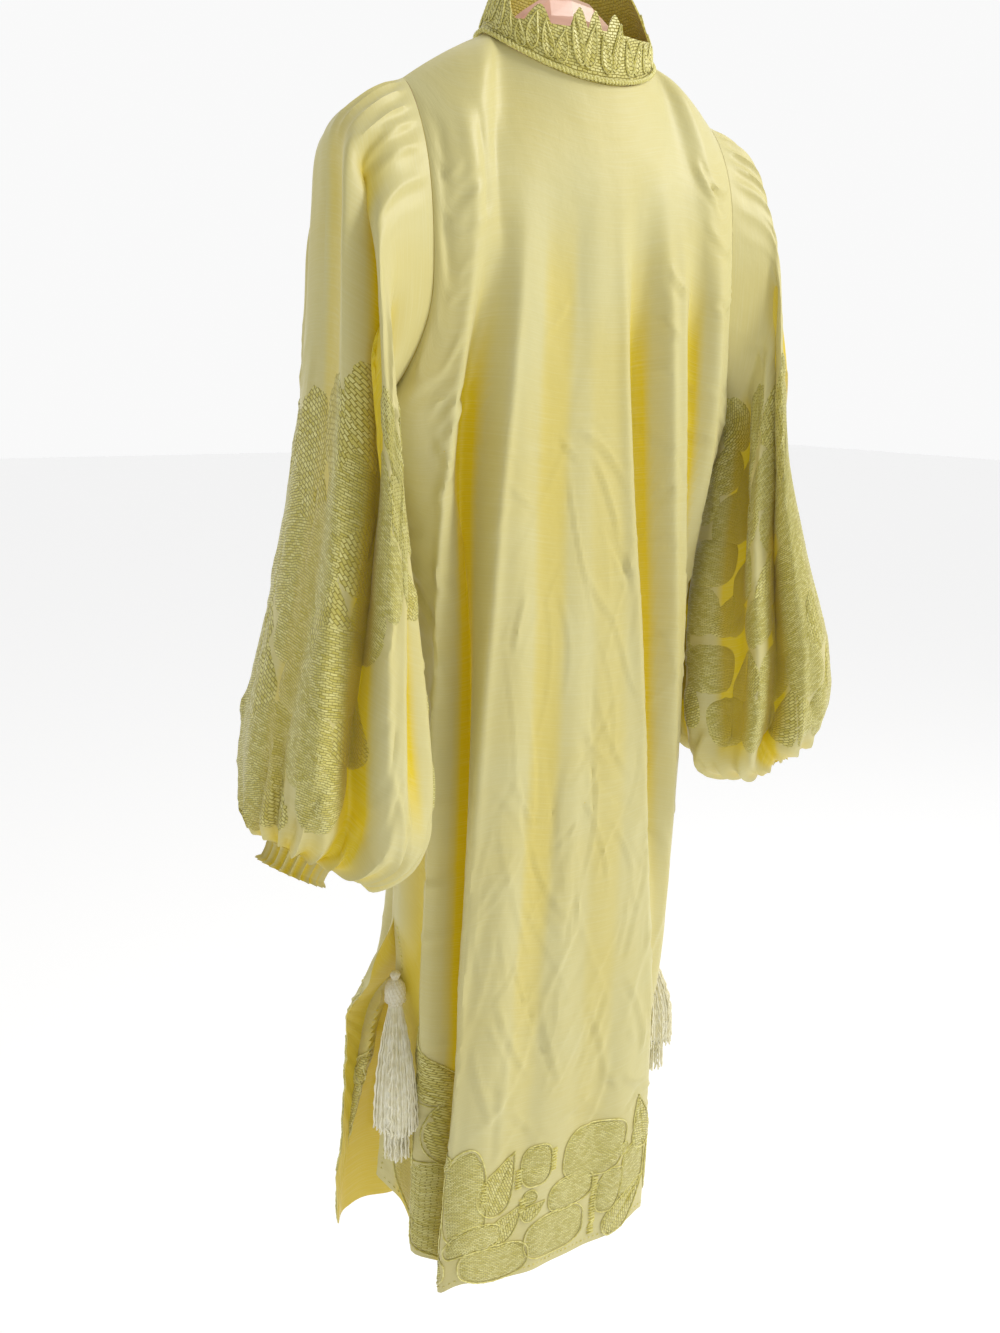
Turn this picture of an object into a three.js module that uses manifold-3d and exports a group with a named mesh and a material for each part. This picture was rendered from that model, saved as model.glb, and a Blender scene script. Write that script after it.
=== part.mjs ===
// Kaftan of crisp pale-yellow cloth on a contoured wooden hanger.
// Millimetres, Z up, the garment's front faces -Y and its own left sleeve lies at +X.
// Heights are counted from the neck points, and the group is then moved down, so that
// its origin is the inside top of the hook.

import * as THREE from 'three';
import * as BufferGeometryUtils from 'three/addons/utils/BufferGeometryUtils.js';
import Module from 'manifold-3d';

const wasm = await Module();
wasm.setup();

// Driving dimensions
const GARMENT_LENGTH = 1105;
const WALL = 1.2;
const COLLAR_WALL = 1.5;
const SEAM_GAP = 0.3;
const SLEEVE_SEAM_GAP = 0.4;
const NECK_HALF_WIDTH = 80;
const NECK_HALF_DEPTH = 52;
const NECK_DIP_FRONT = 36;
const NECK_DIP_BACK = 6;
const SHOULDER_HALF_WIDTH = 155;
const SHOULDER_DROP = 42;
const ARMHOLE_BOTTOM = 300;
const SLIT_TOP = 805;
const HEM_CORNER_RADIUS = 60;
const HEM_HALF_WIDTH = 250;
const FRONT_HEM_WAVE = 6;
const BACK_HEM_WAVE = 4;
const BACK_OPENING_LENGTH = 178;
const BACK_OPENING_GAP = 0.5;
const GATHERS = 22;
const GATHER_DEPTH = 4;
const CUFF_LENGTH = 18;
const CUFF_PLEAT_DEPTH = 2.2;
const PIPING_RADIUS = 2;
const HOOK_WIRE_RADIUS = 1.9;
const HOOK_BEND_RADIUS = 20;
const HOOK_BEND_HEIGHT = 84;
const TASSEL_STRANDS = 34;
const TASSEL_TOP_Z = -803;

const HEM_Z = -GARMENT_LENGTH;
const HOOK_RISE = HOOK_BEND_HEIGHT + HOOK_BEND_RADIUS - HOOK_WIRE_RADIUS;
const DEGREE = Math.PI / 180;

// Small mathematics

function table(columns, rows) {
  const byName = {};
  columns.forEach((name, i) => {
    byName[name] = rows.map((row) => row[i]);
  });
  return byName;
}

function smooth(from, to, x) {
  const t = Math.min(Math.max((x - from) / (to - from), 0), 1);
  return t * t * (3 - 2 * t);
}

// Smooth curve through (xs, ys), xs rising, that never passes a highest or lowest value.
function curve(xs, ys, x) {
  const last = xs.length - 1;
  const at = Math.min(Math.max(x, xs[0]), xs[last]);
  let k = 0;
  while (k < last - 1 && at >= xs[k + 1]) k += 1;
  const chord = (i) => (ys[i + 1] - ys[i]) / (xs[i + 1] - xs[i]);
  const slope = (i) => {
    if (i === 0) return chord(0);
    if (i === last) return chord(last - 1);
    const before = chord(i - 1);
    const after = chord(i);
    if (before * after <= 0) return 0;
    const h0 = xs[i] - xs[i - 1];
    const h1 = xs[i + 1] - xs[i];
    return (before * h1 + after * h0) / (h0 + h1);
  };
  const h = xs[k + 1] - xs[k];
  const t = (at - xs[k]) / h;
  const t2 = t * t;
  const t3 = t2 * t;
  return (2 * t3 - 3 * t2 + 1) * ys[k] + (t3 - 2 * t2 + t) * h * slope(k)
    + (3 * t2 - 2 * t3) * ys[k + 1] + (t3 - t2) * h * slope(k + 1);
}

function interpolate(xs, ys, x) {
  let k = 0;
  while (k < xs.length - 2 && x > xs[k + 1]) k += 1;
  const t = (x - xs[k]) / (xs[k + 1] - xs[k]);
  return ys[k] + (ys[k + 1] - ys[k]) * t;
}

// Values at even steps of the running total of a density, so that steps crowd where it is high.
function crowdedSteps(xs, density, count) {
  const total = [0];
  for (let i = 1; i < xs.length; i += 1) {
    total.push(total[i - 1] + (xs[i] - xs[i - 1]) * (density[i] + density[i - 1]) / 2);
  }
  const end = total[total.length - 1];
  return Array.from({ length: count + 1 }, (_, j) => interpolate(total, xs, end * j / count));
}

// Closed walls

// A wall between outer points and the same points moved inwards along their normals. Cells are
// quads of point numbers, and every side that only one cell has becomes an edge of the cloth.
function wallGeometry(outer, normals, thickness, cells) {
  const inner = outer.map((point, i) => point.clone().addScaledVector(normals[i], -thickness));
  const count = outer.length;
  const positions = [...outer, ...inner].flatMap((point) => point.toArray());
  const index = [];
  const edges = new Map();
  for (const cell of cells) {
    const [a, b, c, d] = cell;
    index.push(a, b, c, a, c, d);
    index.push(a + count, c + count, b + count, a + count, d + count, c + count);
    for (const [from, to] of [[a, b], [b, c], [c, d], [d, a]]) {
      if (edges.has(`${to},${from}`)) edges.delete(`${to},${from}`);
      else edges.set(`${from},${to}`, [from, to]);
    }
  }
  for (const [from, to] of edges.values()) {
    index.push(from, from + count, to + count, from, to + count, to);
  }
  const geometry = new THREE.BufferGeometry();
  geometry.setAttribute('position', new THREE.Float32BufferAttribute(positions, 3));
  geometry.setIndex(index);
  return geometry;
}

// Normals of a grid of points by central differences; side is +1 or -1 and turns them outwards.
function gridNormals(grid, closed, side) {
  const rows = grid.length;
  const columns = grid[0].length;
  return grid.map((row, i) => row.map((_, j) => {
    const left = closed ? (j + columns - 1) % columns : Math.max(j - 1, 0);
    const right = closed ? (j + 1) % columns : Math.min(j + 1, columns - 1);
    const across = row[right].clone().sub(row[left]);
    const down = grid[Math.min(i + 1, rows - 1)][j].clone().sub(grid[Math.max(i - 1, 0)][j]);
    return across.cross(down).multiplyScalar(side).normalize();
  }));
}

// Body of the kaftan: superellipse halves from a table of heights

const BODY = table(
  ['z', 'left', 'right', 'front', 'back', 'frontEdge', 'edgeGap', 'square', 'backLeft', 'backRight'],
  [
    [-1110, -140, 128, -40, 138, 88, 22, 6.0, -174, 160],
    [-1000, -138, 128, -47, 130, 78, 26, 5.6, -171, 160],
    [-920, -136, 130, -52, 120, 68, 30, 5.0, -166, 158],
    [-860, -138, 134, -56, 112, 58, 26, 4.4, -158, 152],
    [-800, -141, 138, -58, 104, 48, SEAM_GAP, 3.8, -142, 139],
    [-720, -140, 140, -62, 94, 42, SEAM_GAP, 3.4, -140, 140],
    [-600, -140, 142, -66, 84, 32, SEAM_GAP, 3.1, -140, 142],
    [-480, -144, 146, -66, 76, 20, SEAM_GAP, 3.0, -144, 146],
    [-380, -160, 158, -64, 70, 10, SEAM_GAP, 2.9, -160, 158],
    [-300, -184, 182, -63, 63, 2, SEAM_GAP, 2.8, -184, 182],
    [-265, -170, 168, -63, 60, -26, 52, 2.7, -170, 168],
    [-220, -156, 156, -63, 57, -42, 82, 2.6, -156, 156],
    [-170, -153, 153, -62, 54, -46, 90, 2.5, -153, 153],
    [-110, -154, 154, -60, 50, -42, 82, 2.4, -154, 154],
    [-42, -155, 155, -54, 46, -24, 48, 2.4, -155, 155],
  ],
);
const MOST_SQUARE_BACK = 3.6;
// How far below the neck and shoulder line the form has mostly reached its table size.
const SHOULDER_ROUNDING = 22;
const SHOULDER_FULLNESS = 0.7;
const NECK_ROUNDING = 60;
const WIDTH_ROUNDING = 70;

function bodySize(name, z) {
  return curve(BODY.z, BODY[name], z);
}

// Neck and shoulder line: u is 0 at the middle, 0.5 at the neck point and 1 at the armhole.
function topLine(u, face) {
  const a = Math.abs(u);
  const sign = Math.sign(u);
  if (a <= 0.5) {
    const turn = a * Math.PI;
    const dip = face < 0 ? NECK_DIP_FRONT : NECK_DIP_BACK;
    return new THREE.Vector3(
      sign * NECK_HALF_WIDTH * Math.sin(turn),
      face * NECK_HALF_DEPTH * Math.cos(turn) + face * SEAM_GAP / 2,
      -dip * Math.max(Math.cos(turn), 0) ** 1.3,
    );
  }
  const t = (a - 0.5) / 0.5;
  const x = NECK_HALF_WIDTH + (SHOULDER_HALF_WIDTH - NECK_HALF_WIDTH) * t;
  return new THREE.Vector3(sign * x, face * SEAM_GAP / 2, -SHOULDER_DROP * (0.75 * t + 0.25 * t * t));
}

// Hem with its corners rounded up to the side slits and a slight wave.
function hemLine(u, face) {
  const past = Math.abs(u) * HEM_HALF_WIDTH - (HEM_HALF_WIDTH - HEM_CORNER_RADIUS);
  const d = Math.max(past, 0) / HEM_CORNER_RADIUS;
  const rise = HEM_CORNER_RADIUS * (1 - Math.sqrt(Math.max(1 - d * d, 0)));
  const wave = face < 0 ? FRONT_HEM_WAVE * Math.cos(3 * Math.PI * u)
    : BACK_HEM_WAVE * Math.cos(2.5 * Math.PI * u);
  return HEM_Z + rise - wave;
}

// Point of the unfolded body form; face is -1 for the front and +1 for the back.
function bodyPoint(u, z, face) {
  const top = topLine(u, face);
  const left = bodySize(face < 0 ? 'left' : 'backLeft', z);
  const right = bodySize(face < 0 ? 'right' : 'backRight', z);
  const frontEdge = bodySize('frontEdge', z);
  const edge = face < 0 ? frontEdge : frontEdge + bodySize('edgeGap', z);
  const far = bodySize(face < 0 ? 'front' : 'back', z);
  const square = face < 0 ? bodySize('square', z) : Math.min(bodySize('square', z), MOST_SQUARE_BACK);
  const turn = u * Math.PI / 2;
  const across = Math.sign(turn) * Math.abs(Math.sin(turn)) ** (2 / square);
  const out = Math.max(Math.cos(turn), 0) ** (2 / square);
  const x = (left + right) / 2 + (right - left) / 2 * across;
  const y = edge + (far - edge) * out;
  const drop = Math.max(top.z - z, 0);
  const neck = 1 - smooth(0.35, 0.6, Math.abs(u));
  const overShoulder = (1 - Math.exp(-drop / SHOULDER_ROUNDING)) ** SHOULDER_FULLNESS;
  const belowNeck = 1 - Math.exp(-drop / NECK_ROUNDING);
  const easeY = overShoulder * (1 - neck) + belowNeck * neck;
  const easeX = 1 - Math.exp(-drop / WIDTH_ROUNDING);
  return new THREE.Vector3(top.x + (x - top.x) * easeX, top.y + (y - top.y) * easeY, z);
}

// Folds of the panels: place along the width at three heights, then depth, half width and
// the heights where the fold starts, is full, starts to fade and has faded to its end.
const FOLD_COLUMNS = ['s150', 's500', 's1000', 'depth', 'width', 'start', 'full', 'fade', 'end'];
const FRONT_FOLDS = table(FOLD_COLUMNS, [
  [-100, -131, -150, 44, 15, -110, -330, -760, -1090],
  [-40, -48, -60, 6, 22, -60, -200, -700, -1100],
  [44, 76, 140, 30, 17, -80, -300, -520, -800],
  [4, 16, 30, 3, 26, -80, -300, -800, -1100],
  [108, 140, 190, 18, 14, -110, -260, -700, -1100],
  [-150, -178, -196, 12, 24, -300, -800, -1100, -1400],
]);
const BACK_FOLDS = table(FOLD_COLUMNS, [
  [-90, -130, -170, 34, 16, -120, -340, -900, -1100],
  [-20, -30, -50, 22, 18, -230, -420, -900, -1100],
  [60, 84, 100, 28, 17, -120, -340, -900, -1100],
  [125, 165, 200, 24, 15, -120, -300, -900, -1100],
  [-140, -180, -186, -26, 26, -560, -760, -800, -900],
  [140, 180, 186, -18, 26, -560, -760, -800, -900],
]);
const FOLD_LEFT_AT_HEM = 0.4;

function foldPlace(folds, k, z) {
  return curve([-1000, -500, -150], [folds.s1000[k], folds.s500[k], folds.s150[k]], z);
}

function foldDepth(folds, k, z) {
  const grown = smooth(-folds.start[k], -folds.full[k], -z);
  const faded = smooth(-folds.fade[k], -folds.end[k], -z) * (1 - FOLD_LEFT_AT_HEM);
  return folds.depth[k] * grown * (1 - faded);
}

const ROW_SAMPLES = 120;
const MIDDLE_ROW = 0.45;

// Unfolded row of a panel: its points, their place s along the width from the middle, and how
// closely the columns are wanted there.
function measuredRow(face, folds, fraction) {
  const samples = ROW_SAMPLES;
  const us = Array.from({ length: 2 * samples + 1 }, (_, i) => i / samples - 1);
  const base = us.map((u) => {
    const zTop = topLine(u, face).z;
    return bodyPoint(u, zTop + (hemLine(u, face) - zTop) * fraction, face);
  });
  const along = [0];
  for (let i = 1; i < base.length; i += 1) {
    along.push(along[i - 1] + Math.hypot(base[i].x - base[i - 1].x, base[i].y - base[i - 1].y));
  }
  const s = along.map((length) => length - along[samples]);
  const density = us.map((_, i) => folds.depth.reduce((sum, depth, k) => {
    const offset = (s[i] - foldPlace(folds, k, base[i].z)) / (1.5 * folds.width[k]);
    return sum + Math.min(Math.abs(depth) / 14, 1.8) * Math.exp(-offset * offset);
  }, 1));
  // Ends, middle and the bottom of every trough, each of which keeps a column of its own.
  const inside = (place) => Math.min(Math.max(place, s[0] + 8), s[2 * samples] - 8);
  const troughs = folds.depth.map((depth, k) => (depth > 0 ? k : -1)).filter((k) => k >= 0);
  const bottoms = troughs.map((k) => {
    const guess = inside(foldPlace(folds, k, base[samples].z));
    return inside(foldPlace(folds, k, interpolate(s, base.map((point) => point.z), guess)));
  });
  const knots = [s[0], ...bottoms, 0, s[2 * samples]].sort((p, q) => p - q);
  return { us, base, s, density, knots };
}

function densityBetween(row, from, to) {
  const steps = 24;
  let sum = 0;
  for (let i = 0; i < steps; i += 1) {
    sum += interpolate(row.s, row.density, from + (to - from) * (i + 0.5) / steps);
  }
  return sum * (to - from) / steps;
}

// How many columns lie between each two knots, from the row at the middle of the height.
function columnCounts(face, folds, columns) {
  const row = measuredRow(face, folds, MIDDLE_ROW);
  const shares = row.knots.slice(1).map((knot, i) => densityBetween(row, row.knots[i], knot));
  const total = shares.reduce((sum, share) => sum + share, 0);
  const counts = shares.map((share) => Math.max(Math.round(columns * share / total), 1));
  const leftHalf = counts.slice(0, row.knots.indexOf(0));
  return { counts, middle: leftHalf.reduce((sum, count) => sum + count, 0) };
}

function panelRow(face, folds, fraction, counts) {
  const row = measuredRow(face, folds, fraction);
  const places = [row.s[0]];
  counts.forEach((count, i) => {
    const from = row.knots[i];
    const to = row.knots[i + 1];
    const samples = Array.from({ length: 31 }, (_, j) => from + (to - from) * j / 30);
    const density = samples.map((place) => interpolate(row.s, row.density, place));
    places.push(...crowdedSteps(samples, density, count).slice(1));
  });
  return places.map((place) => foldedPoint(place, row.s, row.us, row.base, face, folds));
}

function foldedPoint(place, s, us, base, face, folds) {
  const pick = (axis) => interpolate(s, base.map((point) => point[axis]), place);
  const point = new THREE.Vector3(pick('x'), pick('y'), pick('z'));
  const step = 2;
  const at = (value, axis) => interpolate(s, base.map((p) => p[axis]), value);
  const low = Math.max(place - step, s[0]);
  const high = Math.min(place + step, s[s.length - 1]);
  const tangent = new THREE.Vector2(at(high, 'x') - at(low, 'x'), at(high, 'y') - at(low, 'y'));
  tangent.normalize();
  const u = interpolate(s, us, place);
  const heldAtSeam = smooth(0.93, 1, Math.abs(u)) * smooth(-SLIT_TOP, -SLIT_TOP + 60, point.z);
  let moved = 0;
  folds.depth.forEach((_, k) => {
    const offset = (place - foldPlace(folds, k, point.z)) / folds.width[k];
    moved -= foldDepth(folds, k, point.z) * Math.exp(-offset * offset) * (1 - heldAtSeam);
  });
  point.x += -face * tangent.y * moved;
  point.y += face * tangent.x * moved;
  return point;
}

const FRONT_COLUMNS = 34;
const BACK_COLUMNS = 24;
const PANEL_DROPS = [0, 2, 6, 13, 24, 42, 70, 105, 145, 178, 200, 220, 240, 258, 276, 310, 360, 430, 510,
  600, 700, 770, 812, 860, 920, 990, 1050, 1085, 1105];

// A panel wall; its edges along the shoulder and side seams are cut square to meet their neighbour.
function panelGeometry(face, folds, wantedColumns, openingLength) {
  const { counts, middle } = columnCounts(face, folds, wantedColumns);
  const grid = PANEL_DROPS.map((drop) => panelRow(face, folds, drop / GARMENT_LENGTH, counts));
  const normals = gridNormals(grid, false, face);
  const columns = grid[0].length;
  const lastColumn = columns - 1;
  normals.forEach((row, i) => {
    const open = grid[i][0].z < -SLIT_TOP;
    if (!open) {
      row[0].set(-1, 0, 0);
      row[lastColumn].set(1, 0, 0);
    }
  });
  normals[0].forEach((normal, j) => {
    const overShoulder = smooth(0.8, 1, Math.abs(grid[0][j].x) / NECK_HALF_WIDTH);
    const level = new THREE.Vector3(normal.x, normal.y, 0).normalize();
    normal.copy(level.multiplyScalar(1 - overShoulder));
    normal.z = overShoulder;
    normal.normalize();
  });
  const points = grid.flat();
  const pointNormals = normals.flat();
  const openRows = PANEL_DROPS.filter((drop) => drop < openingLength).length;
  const twin = new Map();
  for (let i = 0; i < openRows; i += 1) {
    const original = i * columns + middle;
    const moved = points[original].clone();
    moved.x += BACK_OPENING_GAP / 2;
    points[original].x -= BACK_OPENING_GAP / 2;
    twin.set(original, points.length);
    points.push(moved);
    pointNormals.push(pointNormals[original].clone());
  }
  const cells = [];
  for (let i = 0; i < grid.length - 1; i += 1) {
    for (let j = 0; j < lastColumn; j += 1) {
      const right = j >= middle;
      const id = (row, column) => {
        const plain = row * columns + column;
        return right && twin.has(plain) ? twin.get(plain) : plain;
      };
      const cell = [id(i, j), id(i, j + 1), id(i + 1, j + 1), id(i + 1, j)];
      cells.push(face > 0 ? cell : cell.reverse());
    }
  }
  return wallGeometry(points, pointNormals, WALL, cells);
}

// Sleeves: rings from the armhole (0) to the gathered wrist (12), given for the sleeve at -X.
// outX, outZ is the ring's outer or upper end, inX, inZ its inner or lower end.
const SLEEVE = table(
  ['ring', 'outX', 'outZ', 'inX', 'inZ', 'front', 'back'],
  [
    [1, -188, -58, -188, -312, -56, 54],
    [2, -219, -86, -186, -342, -65, 58],
    [3, -226, -140, -182, -380, -72, 62],
    [4, -231, -215, -176, -420, -78, 66],
    [5, -239, -295, -169, -462, -84, 69],
    [6, -254, -375, -163, -508, -90, 71],
    [7, -272, -450, -158, -554, -95, 71],
    [8, -291, -512, -154, -600, -99, 69],
    [9, -302, -560, -156, -640, -98, 63],
    [10, -305, -594, -170, -668, -88, 50],
    [11, -300, -616, -200, -677, -70, 28],
    [12, -287, -628, -236, -658, -42, 2],
  ],
);
const LAST_RING = 12;
// The sleeve at +X is slimmer and closer in near its head, and hangs further forward, closer in
// and higher towards its wrist.
const RIGHT_FORWARD = -26;
const RIGHT_IN = 16;
const RIGHT_UP = 35;
const RIGHT_SLIM = 13;
const RIGHT_CLOSE = 6;
const RIGHT_WRIST_SLIM = 9;

// Folds of the sleeves: angle from the outer edge over the front at rings 2, 6 and 10, then
// depth, half width in degrees and the rings where the fold starts, is full, fades and ends.
const SLEEVE_FOLD_COLUMNS = ['a2', 'a6', 'a10', 'depth', 'width', 'start', 'full', 'fade', 'end'];
const LEFT_SLEEVE_FOLDS = table(SLEEVE_FOLD_COLUMNS, [
  [48, 58, 80, 34, 13, 0.8, 3, 9.5, 11.5],
  [112, 118, 124, 16, 14, 0.6, 2, 7, 9.5],
  [12, 16, 20, 5, 12, 1, 3, 9, 11],
  [190, 196, 200, 20, 14, 1, 3, 9, 11],
  [262, 258, 250, 26, 15, 1, 3, 9, 11],
  [320, 316, 312, 14, 14, 1, 3, 9, 11],
]);
const RIGHT_SLEEVE_FOLDS = table(SLEEVE_FOLD_COLUMNS, [
  [92, 108, 122, 30, 12, 0.8, 3, 9.5, 11.5],
  [150, 150, 150, 18, 14, 0.6, 2, 8, 10],
  [40, 44, 50, 8, 14, 1, 3, 9, 11],
  [205, 205, 205, 20, 14, 1, 3, 9, 11],
  [262, 258, 250, 26, 15, 1, 3, 9, 11],
  [320, 316, 312, 14, 14, 1, 3, 9, 11],
]);

function armholePoint(angle, side) {
  const z = -SHOULDER_DROP - (ARMHOLE_BOTTOM - SHOULDER_DROP) * (1 - Math.cos(angle)) / 2;
  const point = bodyPoint(side, z, Math.sin(angle) > 0 ? -1 : 1);
  point.x += side * SLEEVE_SEAM_GAP;
  return point;
}

function ringPoint(k, angle, side) {
  const ring = SLEEVE.ring[k];
  const low = side > 0 ? smooth(3, 10, ring) : 0;
  const high = side > 0 ? smooth(1, 2.4, ring) * (1 - smooth(4.5, 7.5, ring)) : 0;
  const atWrist = side > 0 ? smooth(8.5, 10, ring) : 0;
  const inX = SLEEVE.inX[k] + low * RIGHT_IN + high * RIGHT_CLOSE;
  const outX = SLEEVE.outX[k] + low * RIGHT_IN + high * (RIGHT_CLOSE + RIGHT_SLIM) + atWrist * RIGHT_WRIST_SLIM;
  const cz = (SLEEVE.outZ[k] + SLEEVE.inZ[k]) / 2;
  const cy = (SLEEVE.front[k] + SLEEVE.back[k]) / 2;
  const halfZ = (SLEEVE.outZ[k] - SLEEVE.inZ[k]) / 2;
  const halfY = (SLEEVE.back[k] - SLEEVE.front[k]) / 2;
  return new THREE.Vector3(
    -side * ((outX + inX) / 2 + (outX - inX) / 2 * Math.cos(angle)),
    cy + low * RIGHT_FORWARD - halfY * Math.sin(angle),
    cz + low * RIGHT_UP + halfZ * Math.cos(angle),
  );
}

function sleeveBase(ring, angle, side) {
  const knots = [armholePoint(angle, side), ...SLEEVE.ring.map((_, k) => ringPoint(k, angle, side))];
  const rings = [0, ...SLEEVE.ring];
  const along = (axis) => curve(rings, knots.map((knot) => knot[axis]), ring);
  return new THREE.Vector3(along('x'), along('y'), along('z'));
}

// Unit vector along the wrist, out of the sleeve, and the middle of the wrist's ring.
function wrist(side) {
  const outer = ringPoint(SLEEVE.ring.length - 1, 0, side);
  const inner = ringPoint(SLEEVE.ring.length - 1, Math.PI, side);
  const across = outer.clone().sub(inner).normalize();
  const axis = new THREE.Vector3(side * Math.abs(across.z), 0, -Math.abs(across.x));
  return { axis, middle: outer.add(inner).multiplyScalar(0.5) };
}

function wristRadial(point, side) {
  const { axis, middle } = wrist(side);
  const out = point.clone().sub(middle);
  return out.addScaledVector(axis, -out.dot(axis)).normalize();
}

function angleOff(angle, degrees) {
  const off = (angle / DEGREE - degrees) % 360;
  return ((off + 540) % 360) - 180;
}

function sleeveFoldAngle(folds, k, ring) {
  return curve([2, 6, 10], [folds.a2[k], folds.a6[k], folds.a10[k]], ring);
}

function sleevePoint(ring, angle, side, folds) {
  const point = sleeveBase(ring, angle, side);
  const turn = 0.02;
  const around = sleeveBase(ring, angle + turn, side).sub(sleeveBase(ring, angle - turn, side));
  const lower = sleeveBase(Math.min(ring + turn, LAST_RING), angle, side);
  const along = lower.sub(sleeveBase(Math.max(ring - turn, 0), angle, side));
  const normal = around.cross(along).multiplyScalar(side).normalize();
  const atWrist = smooth(10.5, LAST_RING, ring);
  normal.lerp(wristRadial(point, side), atWrist).normalize();
  let moved = 0;
  folds.depth.forEach((depth, k) => {
    const off = angleOff(angle, sleeveFoldAngle(folds, k, ring)) / folds.width[k];
    const grown = smooth(folds.start[k], folds.full[k], ring);
    const faded = smooth(folds.fade[k], folds.end[k], ring);
    moved -= depth * grown * (1 - faded) * Math.exp(-off * off);
  });
  const gathered = smooth(8.3, 11.6, ring) * (1 - 0.35 * smooth(11.6, LAST_RING, ring));
  moved += GATHER_DEPTH * gathered * Math.cos(GATHERS * angle);
  return point.addScaledVector(normal, moved);
}

const SLEEVE_RINGS = [0, 0.4, 1, 1.8, 2.7, 3.8, 5, 6.2, 7.4, 8.5, 9.5, 10.3, 11, 11.5, 12];
// The right sleeve's deep folds leave a narrow bore, so it is two solids, parted at this ring
const PARTED_RING = 6.2;
const PARTED_HALF_GAP = 0.014;
const UPPER_RINGS = SLEEVE_RINGS.filter((ring) => ring < PARTED_RING).concat(PARTED_RING - PARTED_HALF_GAP);
const LOWER_RINGS = [PARTED_RING + PARTED_HALF_GAP, ...SLEEVE_RINGS.filter((ring) => ring > PARTED_RING)];

// Angles of one ring, crowded at the folds above and even at the wrist, one to each half gather.
function sleeveAngles(ring, folds) {
  const columns = 2 * GATHERS;
  const samples = 240;
  const angles = Array.from({ length: samples + 1 }, (_, i) => i * 2 * Math.PI / samples);
  const density = angles.map((angle) => folds.depth.reduce((sum, depth, k) => {
    const off = angleOff(angle, sleeveFoldAngle(folds, k, ring)) / (1.5 * folds.width[k]);
    return sum + depth / 16 * Math.exp(-off * off);
  }, 1));
  const crowded = crowdedSteps(angles, density, columns);
  const even = smooth(7.5, 10.4, ring);
  return crowded.slice(0, columns).map((angle, j) => {
    return angle * (1 - even) + even * j * 2 * Math.PI / columns;
  });
}

function tubeCells(rows, columns, flip) {
  const cells = [];
  for (let i = 0; i < rows - 1; i += 1) {
    for (let j = 0; j < columns; j += 1) {
      const next = (j + 1) % columns;
      const cell = [i * columns + j, (i + 1) * columns + j, (i + 1) * columns + next, i * columns + next];
      cells.push(flip ? cell.reverse() : cell);
    }
  }
  return cells;
}

// Level unit vector square to a ring at its point j, on the side that the given normal points to.
function levelNormal(row, j, normal) {
  const before = row[(j + row.length - 1) % row.length];
  const after = row[(j + 1) % row.length];
  const level = new THREE.Vector3(after.y - before.y, before.x - after.x, 0).normalize();
  return level.multiplyScalar(Math.sign(level.dot(normal)));
}

function sleeveGeometry(side, folds, rings) {
  const grid = rings.map((ring) => {
    const atParting = Math.abs(ring - PARTED_RING) < 2 * PARTED_HALF_GAP;
    const angles = sleeveAngles(atParting ? PARTED_RING : ring, folds);
    return angles.map((angle) => sleevePoint(ring, angle, side, folds));
  });
  const normals = gridNormals(grid, true, side);
  const rim = grid.length - 1;
  normals[0].forEach((normal, j) => {
    if (rings[0] === 0) normal.setX(0).normalize();
    else normal.copy(levelNormal(grid[0], j, normal));
  });
  normals[rim].forEach((normal, j) => {
    if (rings[rim] === LAST_RING) normal.copy(wristRadial(grid[rim][j], side));
    else normal.copy(levelNormal(grid[rim], j, normal));
  });
  const cells = tubeCells(grid.length, grid[0].length, side > 0);
  return wallGeometry(grid.flat(), normals.flat(), WALL, cells);
}

// Elastic casing at the wrist: the wrist's ring carried on along the wrist, pleated by the elastic.
function cuffGeometry(side) {
  const columns = 2 * GATHERS;
  const stations = table(['place', 'size'], [[0, 1.0], [0.4, 0.93], [0.8, 0.95], [1, 1.04]]);
  const { axis, middle } = wrist(side);
  const grid = stations.place.map((place, i) => {
    return Array.from({ length: columns }, (_, j) => {
      const angle = j * 2 * Math.PI / columns;
      const rim = ringPoint(SLEEVE.ring.length - 1, angle, side);
      const radial = wristRadial(rim, side);
      const point = middle.clone().addScaledVector(rim.clone().sub(middle), stations.size[i]);
      const pleat = CUFF_PLEAT_DEPTH * Math.cos(GATHERS * angle);
      return point.addScaledVector(radial, pleat)
        .addScaledVector(axis, SLEEVE_SEAM_GAP + place * CUFF_LENGTH);
    });
  });
  const normals = grid.map((row) => row.map((point) => wristRadial(point, side)));
  return wallGeometry(grid.flat(), normals.flat(), WALL, tubeCells(grid.length, columns, side > 0));
}

// Stand collar: a band on the neck seam, leaning in, its top edge low in front with leaf tips
const COLLAR_SIZE = table(['z', 'halfWidth', 'halfDepth'], [
  [-36, 80, 52],
  [0, 80, 50.5],
  [25, 72, 48],
  [52, 59, 45],
]);
const COLLAR_LOW = 4;
const COLLAR_HIGH = 52;
const COLLAR_LEAVES = table(['angle', 'halfAngle', 'height'], [
  [-44, 9, 13],
  [-17, 5.5, 15],
  [-6, 4.5, 14],
  [9, 6.5, 14],
]);
const COLLAR_OPEN_ANGLE = 0.35;
const COLLAR_SEAM_GAP = 0.5;

function neckSeamZ(angle) {
  const c = Math.cos(angle * DEGREE);
  const dip = c > 0 ? NECK_DIP_FRONT : NECK_DIP_BACK;
  return -dip * Math.abs(c) ** 1.3;
}

function collarTopZ(angle) {
  const rise = smooth(58, 88, Math.abs(angle));
  let z = COLLAR_LOW + (COLLAR_HIGH - COLLAR_LOW) * rise;
  z += COLLAR_LOW * smooth(25, 60, Math.abs(angle)) * (1 - rise);
  COLLAR_LEAVES.angle.forEach((middle, k) => {
    const off = Math.min(Math.abs(angle - middle) / COLLAR_LEAVES.halfAngle[k], 1);
    z += COLLAR_LEAVES.height[k] * (1 - off ** 1.7);
  });
  return z;
}

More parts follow.
